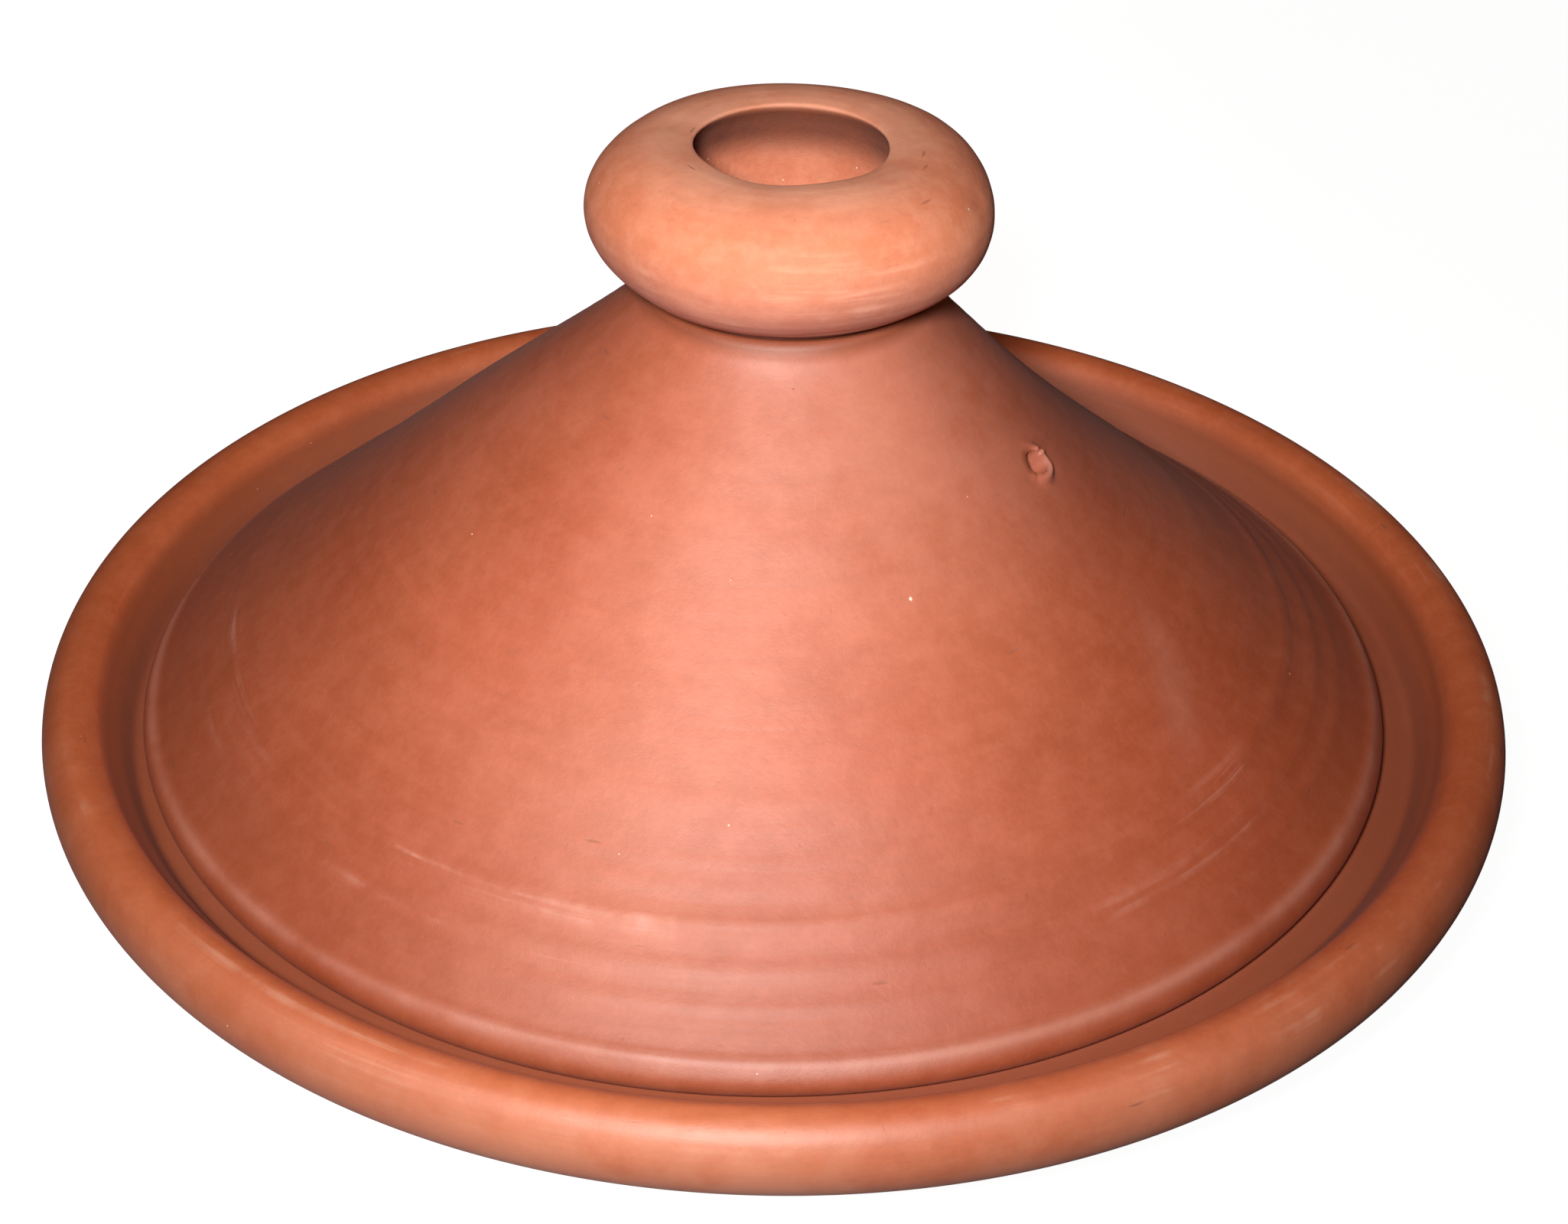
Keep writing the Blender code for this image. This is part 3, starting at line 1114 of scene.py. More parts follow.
class Piece:
    """One turned piece: it works out its surface, and takes its finish and its place."""

    node: str
    clay: Clay
    body: Body

    def build(self) -> bpy.types.Object:
        """Return the piece's object, before it is dressed."""
        raise NotImplementedError

    def dress(self, piece: bpy.types.Object, effects: Effects) -> None:
        """Fire the piece's clay and put it in place of its solid.

        Args:
            piece: The piece's object.
            effects: The shared shader groups.
        """
        piece.data.materials.clear()
        piece.data.materials.append(FINISHES[self.clay].fire(effects))
        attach(piece, self.body.value)
        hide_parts(self.node)

    def make(self, effects: Effects) -> bpy.types.Object:
        """Build and dress the piece, and log its size.

        Args:
            effects: The shared shader groups.

        Returns:
            The finished object.
        """
        piece = self.build()
        self.dress(piece, effects)
        counts = len(piece.data.vertices), len(piece.data.polygons)
        log.info("%s: %d points, %d faces", piece.name, *counts)
        return piece


def box_of(node: str) -> Tuple[np.ndarray, np.ndarray]:
    """Return the lowest and highest corners of a frame solid."""
    low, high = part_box(node)
    return np.array(low, dtype=float), np.array(high, dtype=float)


@dataclass
class BaseDish(Piece):
    """The dish: a flat foot, a flaring wall, a gallery for the lid's edge and a rolled rim."""

    node: str = "base_dish"
    clay: Clay = Clay.DISH
    body: Body = Body.DISH
    roll: float = 0.01165
    crest: float = 0.0068
    meeting: float = 30.0
    foot: float = 0.100
    floor_edge: float = 0.085
    floor_thickness: float = 0.0085
    gallery_drop: float = 0.005
    gallery_inner: float = 0.127
    gallery_outer: float = 0.1405
    wiping: float = 0.0009

    def __post_init__(self) -> None:
        """Take the dish's radius and heights from its solid."""
        low, high = box_of(self.node)
        self.radius = 0.5 * float(high[0] - low[0])
        self.base = float(low[2])
        inset = (self.roll - self.crest) * math.sin(math.radians(self.meeting))
        self.rim_height = float(high[2]) - self.crest - inset
        self.gallery = self.rim_height - self.gallery_drop

    def outline(self) -> Outline:
        """Return the outline from the foot's centre, over the rim, to the floor's centre.

        Returns:
            The outline.
        """
        roll_centre = (self.radius - self.roll, self.rim_height)
        turn = math.radians(self.meeting)
        inset = self.roll - self.crest
        crest_centre = (
            roll_centre[0] + inset * math.cos(turn),
            roll_centre[1] + inset * math.sin(turn),
        )
        foot_edge = oval((self.foot - 0.004, self.base + 0.004), (0.004, 0.004), -90.0, -40.0)
        roll = oval(roll_centre, (self.roll, self.roll), -105.0, self.meeting)
        crest = oval(crest_centre, (self.crest, self.crest), self.meeting, 150.0)
        wall_head = (self.radius - 0.0190, self.rim_height - 0.0120)
        wall = bow(foot_edge[-1], (0.129, 0.012), wall_head)
        groove = np.array([[self.gallery_outer, self.gallery]])
        ledge_end = np.array([[self.gallery_inner, self.gallery]])
        wall_top = (self.gallery_inner - 0.001, self.gallery - 0.003)
        floor_rim = (self.floor_edge, self.floor_thickness)
        inner = bow(wall_top, (0.123, self.floor_thickness), floor_rim)
        start = np.array([[0.0, self.base]])
        end = np.array([[0.0, self.floor_thickness]])
        outside = [start, foot_edge, wall, roll, crest]
        return Outline.wiped([*outside, groove, ledge_end, inner, end], self.wiping)

    def relief(self, outline: Outline) -> Relief:
        """Return the dish's unevenness.

        The rim swells and thins slowly and has a few nicks, the wall has shallow trimming rings
        outside and deeper finger rings inside, and the gallery stays true for the lid.

        Args:
            outline: The dish's outline.

        Returns:
            A function of angle and distance along the outline that gives heights.
        """
        rim_top = outline.where(self.radius - 0.008, self.rim_height + self.crest)
        rim_out = outline.where(self.radius, self.rim_height)
        foot_end = outline.where(self.foot, self.base)
        gallery_start = outline.where(self.gallery_outer + 0.003, self.gallery + 0.004)
        gallery_end = outline.where(self.gallery_inner - 0.001, self.gallery - 0.004)
        inner_end = outline.where(self.floor_edge, self.floor_thickness)
        nicks = (
            (-97.0, rim_top - 0.002, 0.0016, 0.0012, -0.00035),
            (-94.5, rim_top - 0.001, 0.0011, 0.0009, -0.00030),
            (-92.0, rim_top - 0.003, 0.0010, 0.0008, -0.00025),
            (-128.0, rim_top - 0.004, 0.0040, 0.0016, -0.00030),
            (-48.0, rim_top - 0.003, 0.0035, 0.0015, -0.00028),
            (38.0, rim_top, 0.0022, 0.0014, -0.00035),
            (151.0, rim_out, 0.0030, 0.0020, -0.00030),
        )

        def heights(angle: np.ndarray, along: np.ndarray) -> np.ndarray:
            """Return the relief: lumps, trimming and nicks outside, finger rings inside.

            Args:
                angle: Angles round the axis, as a row.
                along: Distances along the outline, as a column.

            Returns:
                A grid of heights.
            """
            radius = outline.at(along[:, 0])[:, :1]
            before_gallery = 1.0 - smooth_step(along, gallery_start - 0.004, gallery_start)
            outside = smooth_step(along, foot_end, foot_end + 0.004) * before_gallery
            inside = smooth_step(along, gallery_end, gallery_end + 0.006)
            rim = hump(along, rim_out, 0.022)
            slow = lumps(angle, along, 11, 0.00022, 0.09, 4)
            low = slow - np.max(slow)
            trimming = finger_rings(angle, along, 0.0042, 0.00016) * (1.0 - rim)
            marks = dents(angle, along, radius, nicks)
            on_wall = smooth_step(-along, -inner_end - 0.01, -inner_end + 0.02)
            fingers = finger_rings(angle, along, 0.0105, 0.00060) * (0.45 + 0.55 * on_wall)
            return outside * (low + trimming + marks) + inside * fingers

        return heights

    def build(self) -> bpy.types.Object:
        """Return the dish, marked where it is rubbed, dusty and raw, and with painted highlight,
        painted reflection and painted shade.

        Returns:
            The dish.
        """
        outline = self.outline()
        crest = outline.where(self.radius - 0.0075, self.rim_height + self.crest)
        groove = outline.where(self.gallery_outer, self.gallery)
        rim_out = outline.where(self.radius, self.rim_height)
        focus = (Focus(rim_out, 0.026, 2.6), Focus(groove, 0.010, 2.0))
        turning = Turning(outline, 0.0, 270, 320, row_focus=focus, relief=self.relief(outline))
        mesh = turning.mesh("dish_body")
        along = recall(mesh, "along")
        where = places(mesh)
        radius = np.hypot(where[:, 0], where[:, 1])
        foot_end = outline.where(self.foot, self.base)
        in_gallery = hump(along, groove - 0.002, 0.0045) + hump(along, groove + 0.006, 0.006)
        store(mesh, "worn", hump(along, crest - 0.004, 0.012))
        store(mesh, "ridge", hump(along, crest - 0.003, 0.007))
        # Grey in the gallery groove where the lid's edge sits: partly grey clay and partly painted
        # shade.
        store(mesh, "shade_and_grey", 0.20 * np.clip(in_gallery, 0.0, 1.0))
        # Darker on the rim's inner slope, down to the gallery.
        past_groove = smooth_step(along, groove + 0.004, groove + 0.012)
        inner_slope = smooth_step(along, crest + 0.0055, crest + 0.0105) * (1.0 - past_groove)
        store(mesh, "deep", 0.72 * inner_slope)
        turn = np.degrees(np.arctan2(where[:, 1], where[:, 0]))
        # Painted highlight on the front of the rim's crest, and painted reflection of the floor low
        # on the front of the roll.
        crest_highlight = hump(turn, -95.0, 60.0) * hump(along, crest - 0.008, 0.010)
        floor_reflection = hump(turn, -88.0, 50.0) * hump(along, crest - 0.026, 0.012)
        outer_side = hump(along, crest - 0.014, 0.010)
        store(mesh, "dust_and_highlight", 0.10 * outer_side + 0.45 * floor_reflection + 0.22 * crest_highlight)
        underneath = 1.0 - smooth_step(along, foot_end, foot_end + 0.01)
        store(mesh, "raw", underneath * smooth_step(radius, 0.0, 0.01))
        return put_out("dish_body", mesh)


@dataclass
class LidCone(Piece):
    """The lid's hollow cone, with its rounded edge, closed top and pierced steam vent."""

    node: str = "lid_cone"
    clay: Clay = Clay.CONE
    body: Body = Body.LID
    nose: float = 0.0036
    shoulder_angle: float = 50.0
    side_pull: Pair = (0.072, 0.098)
    neck_base: Pair = (0.0365, 0.132)
    neck_radius: float = 0.0300
    neck_flare: float = 0.0028
    neck_pull_height: float = 0.1355
    neck_end_height: float = 0.1392
    top_edge: float = 0.0018
    wall: float = 0.008
    top_thickness: float = 0.0085
    lean: float = -0.0024
    neck_shift: float = 0.0034
    neck_shift_span: Pair = (0.50, 0.95)
    vent_along_side: float = 0.715
    vent_azimuth: float = -21.8
    vent_radius: float = 0.00275
    burr_height: float = 0.0016
    burr_width: float = 0.0013
    wiping: float = 0.0006

    def __post_init__(self) -> None:
        """Take the lid's radius, axis and heights from its solid."""
        low, high = box_of(self.node)
        self.radius = 0.5 * float(high[0] - low[0])
        self.axis_x = 0.5 * float(high[0] + low[0])
        self.seat = float(low[2])
        self.top = float(high[2])

    def drift(self, height: np.ndarray) -> np.ndarray:
        """Return how far the centre line is from the axis: half a sine wave, then an ease over.

        Args:
            height: Heights above the dish's underside.

        Returns:
            The shifts along X.
        """
        share = np.clip((height - self.seat) / (self.top - self.seat), 0.0, 1.0)
        eased = smooth_step(share, *self.neck_shift_span)
        return self.lean * np.sin(math.pi * share) + self.neck_shift * eased

    def shoulder(self) -> np.ndarray:
        """Return where the rounded edge turns into the cone's side."""
        centre = (self.radius - self.nose, self.seat + self.nose)
        return oval(centre, (self.nose, self.nose), self.shoulder_angle, self.shoulder_angle, 1)[0]

    def inward(self, point: Sequence[float]) -> np.ndarray:
        """Return a side point moved through the wall, square to the side's mean slope.

        Args:
            point: A point on the side.

        Returns:
            The point on the wall's inner face.
        """
        slope = np.array(self.neck_base) - self.shoulder()
        slope /= np.linalg.norm(slope)
        return np.array(point) + self.wall * np.array([-slope[1], slope[0]])

    def outline(self) -> Outline:
        """Return the outline from the ceiling's centre, down inside, round the edge and up.

        Returns:
            The outline.
        """
        ceiling_height = self.top - self.top_thickness
        inner_neck = (self.neck_base[0] - 0.0055, self.neck_base[1] - 0.006)
        ceiling = bow((0.0, ceiling_height), (0.024, ceiling_height), inner_neck)
        inner_foot = self.inward(self.shoulder())
        inner_side = bow(inner_neck, self.inward(self.side_pull), inner_foot)
        foot = np.array([[inner_foot[0], self.seat + 0.0015], [inner_foot[0] + 0.0015, self.seat]])
        nose_centre = (self.radius - self.nose, self.seat + self.nose)
        nose = oval(nose_centre, (self.nose, self.nose), -90.0, self.shoulder_angle)
        side = bow(self.shoulder(), self.side_pull, self.neck_base)
        neck_pull = (self.neck_radius + self.neck_flare, self.neck_pull_height)
        neck = bow(self.neck_base, neck_pull, (self.neck_radius, self.neck_end_height))
        corner_centre = (self.neck_radius - self.top_edge, self.top - self.top_edge)
        corner = oval(corner_centre, (self.top_edge, self.top_edge), 0.0, 90.0)
        end = np.array([[0.0, self.top]])
        inside, outside = [ceiling, inner_side, foot], [nose, side, neck, corner, end]
        return Outline.wiped([*inside, *outside], self.wiping)

    def vent_place(self) -> Tuple[np.ndarray, np.ndarray, float, float]:
        """Return where the vent is.

        Returns:
            Its centre, its direction out of the wall, and its centre's radius and height on the
            unshifted side.
        """
        steps, stride = 2000, 10
        first = round(steps * self.vent_along_side)
        side = bow(self.shoulder(), self.side_pull, self.neck_base, steps + 1)
        here, ahead = side[[first, first + stride]]
        slope = (ahead - here) / np.linalg.norm(ahead - here)
        turn = math.radians(self.vent_azimuth)
        across = np.array([math.cos(turn), math.sin(turn), 0.0])
        shift = self.axis_x + float(self.drift(np.array(here[1])))
        centre = across * here[0] + np.array([shift, 0.0, here[1]])
        direction = across * slope[1] + np.array([0.0, 0.0, -slope[0]])
        return centre, direction, float(here[0]), float(here[1])

    def relief(self, outline: Outline) -> Relief:
        """Return the cone's unevenness.

        Outside there are faint turning rings all the way up, three soft ridges and a bead near
        the edge, and inside there are deep finger rings. The edge that rests on the dish is true.

        Args:
            outline: The cone's outline.

        Returns:
            A function of angle and distance along the outline that gives heights.
        """
        edge = outline.where(self.radius, self.seat + self.nose)
        shoulder = outline.where(*self.shoulder())
        neck = outline.where(*self.neck_base)
        inner_foot = outline.where(*self.inward(self.shoulder()))
        # Each ridge's climb from the shoulder, its reach and its height. The fourth is the
        # bead on the lid's edge.
        ridges = (
            (0.0268, 0.0016, 0.00052),
            (0.0180, 0.0013, 0.00036),
            (0.0112, 0.0012, 0.00032),
            (0.0012, 0.0016, 0.00060),
            (0.0505, 0.0030, 0.00012),
        )

        def heights(angle: np.ndarray, along: np.ndarray) -> np.ndarray:
            """Return the relief: lumps, rings and ridges outside, finger rings inside.

            Args:
                angle: Angles round the axis, as a row.
                along: Distances along the outline, as a column.

            Returns:
                A grid of heights.
            """
            outside = smooth_step(along, edge, shoulder + 0.003)
            top = 1.0 - smooth_step(along, neck + 0.006, neck + 0.010)
            inside = 1.0 - smooth_step(along, inner_foot - 0.014, inner_foot - 0.006)
            slow = lumps(angle, along, 23, 0.00030, 0.06, 5) * outside * top
            fading = 0.5 + 0.5 * np.cos(3.0 * along / 0.02)
            rings = finger_rings(angle, along, 0.0056, 0.00004) * fading
            total = slow + rings * outside * top
            for climb, reach, height in ridges:
                strength = 0.7 + 0.3 * np.cos(angle + 0.6) + 0.15 * np.cos(3.0 * angle)
                wave = 0.0007 * np.cos(angle + 1.1) + 0.0003 * np.cos(3.0 * angle)
                total = total + height * strength * hump(along, shoulder + climb + wave, reach)
                foot = shoulder + climb - 2.2 * reach + wave
                total = total - 0.15 * height * hump(along, foot, 1.6 * reach)
            return total + inside * finger_rings(angle, along, 0.0092, 0.00055)

        return heights

    def push(self) -> np.ndarray:
        """Return the way along the wall in which the stick pushed the clay: back and down.

        Returns:
            A unit vector.
        """
        _, direction, _, _ = self.vent_place()
        back = np.cross((0.0, 0.0, 1.0), direction)
        back /= np.linalg.norm(back)
        return (back + np.cross(back, direction)) / math.sqrt(2.0)

    def raise_burr(self, points: np.ndarray) -> np.ndarray:
        """Return the grid with clay pushed up round the vent.

        The burr is a bell curve of the distance from the vent's axis, highest on the side that
        the stick pushed towards, and it moves points along the vent's direction.

        Args:
            points: The cone's grid of points.

        Returns:
            The grid with the burr.
        """
        centre, direction, _, _ = self.vent_place()
        offset = points - centre
        depth = offset @ direction
        across = offset - depth[..., None] * direction
        distance = np.linalg.norm(across, axis=-1)
        side = across @ self.push() / np.maximum(distance, 1e-9)
        ring = hump(distance, self.vent_radius + 0.6 * self.burr_width, self.burr_width)
        crumble = 1.0 + 0.25 * np.sin(5.0 * np.arctan2(across[..., 2], across[..., 0]))
        lift = self.burr_height * ring * np.clip(0.45 + 0.55 * side, 0.0, 1.0) * crumble
        outer = np.abs(depth) < 0.004
        return points + (lift * outer)[..., None] * direction

    def drill(self) -> bpy.types.Object:
        """Return the stick that pierces the vent: a rod whose radius wavers a little.

        Its grid is rings along the vent's direction, each a circle whose radius is the vent's
        plus two small waves round it.

        Returns:
            The rod.
        """
        centre, direction, _, _ = self.vent_place()
        side = np.cross(direction, (0.0, 0.0, 1.0))
        side /= np.linalg.norm(side)
        up = np.cross(side, direction)
        depths = np.linspace(-0.014, 0.008, 23)[:, None]
        turn = np.linspace(0.0, math.tau, 48, endpoint=False)[None, :]
        waver = 0.00010 * np.cos(3.0 * turn + 90.0 * depths) + 0.00007 * np.cos(5.0 * turn)
        radius = self.vent_radius + waver + 0.00012 * (depths / 0.008)
        ring = radius[..., None] * (np.cos(turn)[..., None] * side + np.sin(turn)[..., None] * up)
        grid = centre + depths[..., None] * direction + ring
        count = grid.shape[1]
        after = (np.arange(count) + 1) % count
        poles = grid[0].mean(0)[None], grid[-1].mean(0)[None]
        vertices = np.concatenate([grid.reshape(-1, 3), *poles])
        lower = (np.arange(len(grid) - 1) * count)[:, None]
        here = np.arange(count)[None, :]
        corners = [lower + here, lower + count + here, lower + count + after, lower + after]
        quads = np.stack(np.broadcast_arrays(*corners), axis=-1).reshape(-1, 4)
        first, last = len(vertices) - 2, len(vertices) - 1
        top = (len(grid) - 1) * count + np.arange(count)
        bottom_fan = np.stack([np.full(count, first), np.arange(count), after], axis=1)
        top_fan = np.stack([np.full(count, last), top[after], top], axis=1)
        mesh = new_mesh("vent_stick", vertices, quads, np.concatenate([bottom_fan, top_fan]))
        return put_out("vent_stick", mesh)

    def pierce(self, cone: bpy.types.Object) -> None:
        """Cut the vent through the wall, and pass the marks on to the hole's new points.

        Args:
            cone: The cone.
        """
        before = places(cone.data)
        marks = {name: recall(cone.data, name) for name in MARKS}
        stick = self.drill()
        cut = cone.modifiers.new("steam vent", "BOOLEAN")
        cut.operation, cut.solver, cut.object = "DIFFERENCE", "EXACT", stick
        shape = cone.evaluated_get(bpy.context.evaluated_depsgraph_get())
        pierced = bpy.data.meshes.new_from_object(shape)
        cone.modifiers.clear()
        solid, cone.data = cone.data, pierced
        pierced.name = "lid_cone_body"
        bpy.data.meshes.remove(solid)
        rod = stick.data
        bpy.data.objects.remove(stick)
        bpy.data.meshes.remove(rod)
        after = places(pierced)
        centre, _, _, _ = self.vent_place()
        near_before = np.flatnonzero(np.linalg.norm(before - centre, axis=1) < 0.03)
        near_after = np.flatnonzero(np.linalg.norm(after - centre, axis=1) < 0.02)
        gaps = np.linalg.norm(after[near_after][:, None] - before[near_before][None], axis=2)
        nearest = near_before[np.argmin(gaps, axis=1)]
        for name, values in marks.items():
            now = recall(pierced, name)
            now[near_after] = values[nearest]
            store(pierced, name, now)
        pierced.shade_smooth()
        pierced.set_sharp_from_angle(angle=math.radians(48.0))

    def mark(self, mesh: bpy.types.Mesh, outline: Outline) -> None:
        """Store where the cone is dusty, greyer, scuffed, rubbed and raw, and where it is paler
        with painted highlight and darker with painted shade.

        Args:
            mesh: The cone's mesh.
            outline: Its outline.
        """
        along = recall(mesh, "along")
        where = places(mesh)
        turn = np.degrees(np.arctan2(where[:, 1], where[:, 0] - self.axis_x))
        shoulder = outline.where(*self.shoulder())
        edge = outline.where(self.radius, self.seat + self.nose)
        climb = along - shoulder
        outside = smooth_step(along, edge - 0.004, edge)
        slant = turn + 31.35 - 428.0 * (climb - 0.0485)
        smudge = hump(slant, 0.0, 3.6) * hump(climb, 0.0485, 0.0130)
        ridge_line = hump(climb, 0.0268, 0.0022) + 0.6 * hump(climb, 0.0180, 0.0020)
        # Painted highlight down the front of the cone.
        front_highlight = hump(turn, -98.0, 42.0) * hump(climb, 0.040, 0.050)
        upper = smooth_step(climb, 0.060, 0.115) * (0.35 + 0.65 * hump(turn, -48.0, 48.0))
        bead = hump(climb, 0.0012, 0.0014)
        # Painted highlight along the bead at the lid's edge, strongest at the back right.
        bead_highlight = bead * (0.40 + 0.50 * hump(turn, 38.0, 40.0))
        centre, _, _, _ = self.vent_place()
        offset = where - centre
        distance = np.linalg.norm(offset, axis=1)
        side = offset @ self.push() / np.maximum(distance, 1e-9)
        near_side = np.clip(side, 0.0, 1.0)
        # Paler on the burr's high side.
        burr_paler = hump(distance, self.vent_radius + 0.0009, 0.0009) * near_side
        # Painted shadow in a crescent on the vent's far side.
        far_side = np.clip(-0.2 - 1.6 * side, 0.0, 1.0)
        crescent = hump(distance, self.vent_radius + 0.0002, 0.0009) * far_side
        dust_and_highlight = 0.20 * smudge + 0.12 * front_highlight + 0.26 * upper + bead_highlight + 0.5 * burr_paler
        store(mesh, "dust_and_highlight", outside * np.clip(dust_and_highlight, 0.0, 1.0))
        # Greyer on the back right and a little on the back left.
        back_right = hump(turn, 34.0, 26.0) * hump(climb, 0.075, 0.045)
        back_left = hump(turn, 150.0, 16.0) * hump(climb, 0.090, 0.050)
        back_greying = np.clip(0.40 * back_right + 0.08 * back_left, 0.0, 1.0)
        store(mesh, "shade_and_grey", outside * (1.0 - bead) * back_greying)
        store(mesh, "ridge", outside * np.clip(ridge_line, 0.0, 1.0))
        # Painted shade in the crevice under the knob.
        neck = outline.where(*self.neck_base) - shoulder
        radius = np.hypot(where[:, 0] - self.axis_x, where[:, 1])
        under_ring = smooth_step(radius, 0.0225, 0.0245)
        crevice = 0.9 * smooth_step(climb, neck + 0.0090, neck + 0.0112) * under_ring
        # Painted shade low on the cone near its edge, less at the front.
        away_from_front = 1.0 - 0.75 * hump(turn, -88.0, 55.0)
        edge_shade = 0.35 * (1.0 - smooth_step(climb, 0.0, 0.030)) * away_from_front
        darkened = np.clip(edge_shade * (1.0 - bead) + crevice + crescent, 0.0, 1.0)
        store(mesh, "deep", outside * darkened)
        store(mesh, "worn", outside * 0.35 * hump(climb, 0.0, 0.006))
        store(mesh, "raw", 1.0 - outside)

    def build(self) -> bpy.types.Object:
        """Return the cone, with its burr raised and its vent pierced.

        Returns:
            The cone.
        """
        outline = self.outline()
        _, _, vent_radius, vent_height = self.vent_place()
        vent = outline.where(vent_radius, vent_height)
        edge = outline.where(self.radius, self.seat + self.nose)
        rows = (Focus(vent, 0.006, 4.5), Focus(edge, 0.008, 2.2))
        columns = (Focus(math.radians(self.vent_azimuth), math.radians(6.0), 5.0),)
        relief = self.relief(outline)
        turning = Turning(outline, self.axis_x, 250, 352, rows, columns, relief, self.drift)
        mesh = turning.mesh("lid_cone_body", self.raise_burr(turning.points()))
        self.mark(mesh, outline)
        cone = put_out("lid_cone_body", mesh)
        self.pierce(cone)
        return cone


@dataclass
class LutingRing(Piece):
    """The ring of luting clay squeezed between the cone's top and the knob."""

    node: str = "luting_ring"
    clay: Clay = Clay.LUTING
    body: Body = Body.LID
    inner_radius: float = 0.0215
    squeeze: float = 0.0005

    def __post_init__(self) -> None:
        """Take the ring's axis, radius and heights from its solid."""
        low, high = box_of(self.node)
        self.radius = 0.5 * float(high[0] - low[0])
        self.axis_x = 0.5 * float(high[0] + low[0])
        self.bottom = float(low[2])
        self.top = float(high[2])

    def build(self) -> bpy.types.Object:
        """Return the ring, whose outer side is squeezed out unevenly.

        Returns:
            The ring.
        """
        middle = 0.5 * (self.bottom + self.top)
        half = 0.5 * (self.top - self.bottom)
        bulge = oval((self.radius - half, middle), (half, half), -90.0, 90.0, 40)
        inner = oval((self.inner_radius + half, middle), (half, half), 90.0, 270.0, 40)
        outline = Outline.wiped([bulge, inner], 0.0001, closed=True)
        side = outline.where(self.radius, middle)

        def heights(angle: np.ndarray, along: np.ndarray) -> np.ndarray:
            """Return the uneven squeeze: slow and quick waves that only pull in."""
            waves = lumps(angle, along, 41, 1.0, 0.02, 9)
            return -self.squeeze * hump(along, side, 0.0011) * (waves - waves.min()) / np.ptp(waves)

        mesh = Turning(outline, self.axis_x, 30, 256, relief=heights).mesh("luting_clay_ring")
        # The ring is laid over all with grey and the deep colour: painted shade of the crevice
        # under the knob.
        ones = np.ones(len(mesh.vertices))
        for name, value in zip(MARKS[1:], (0.0, 0.35, 0.0, 0.0, 1.0, 0.6)):
            store(mesh, name, value * ones)
        return put_out("luting_clay_ring", mesh)


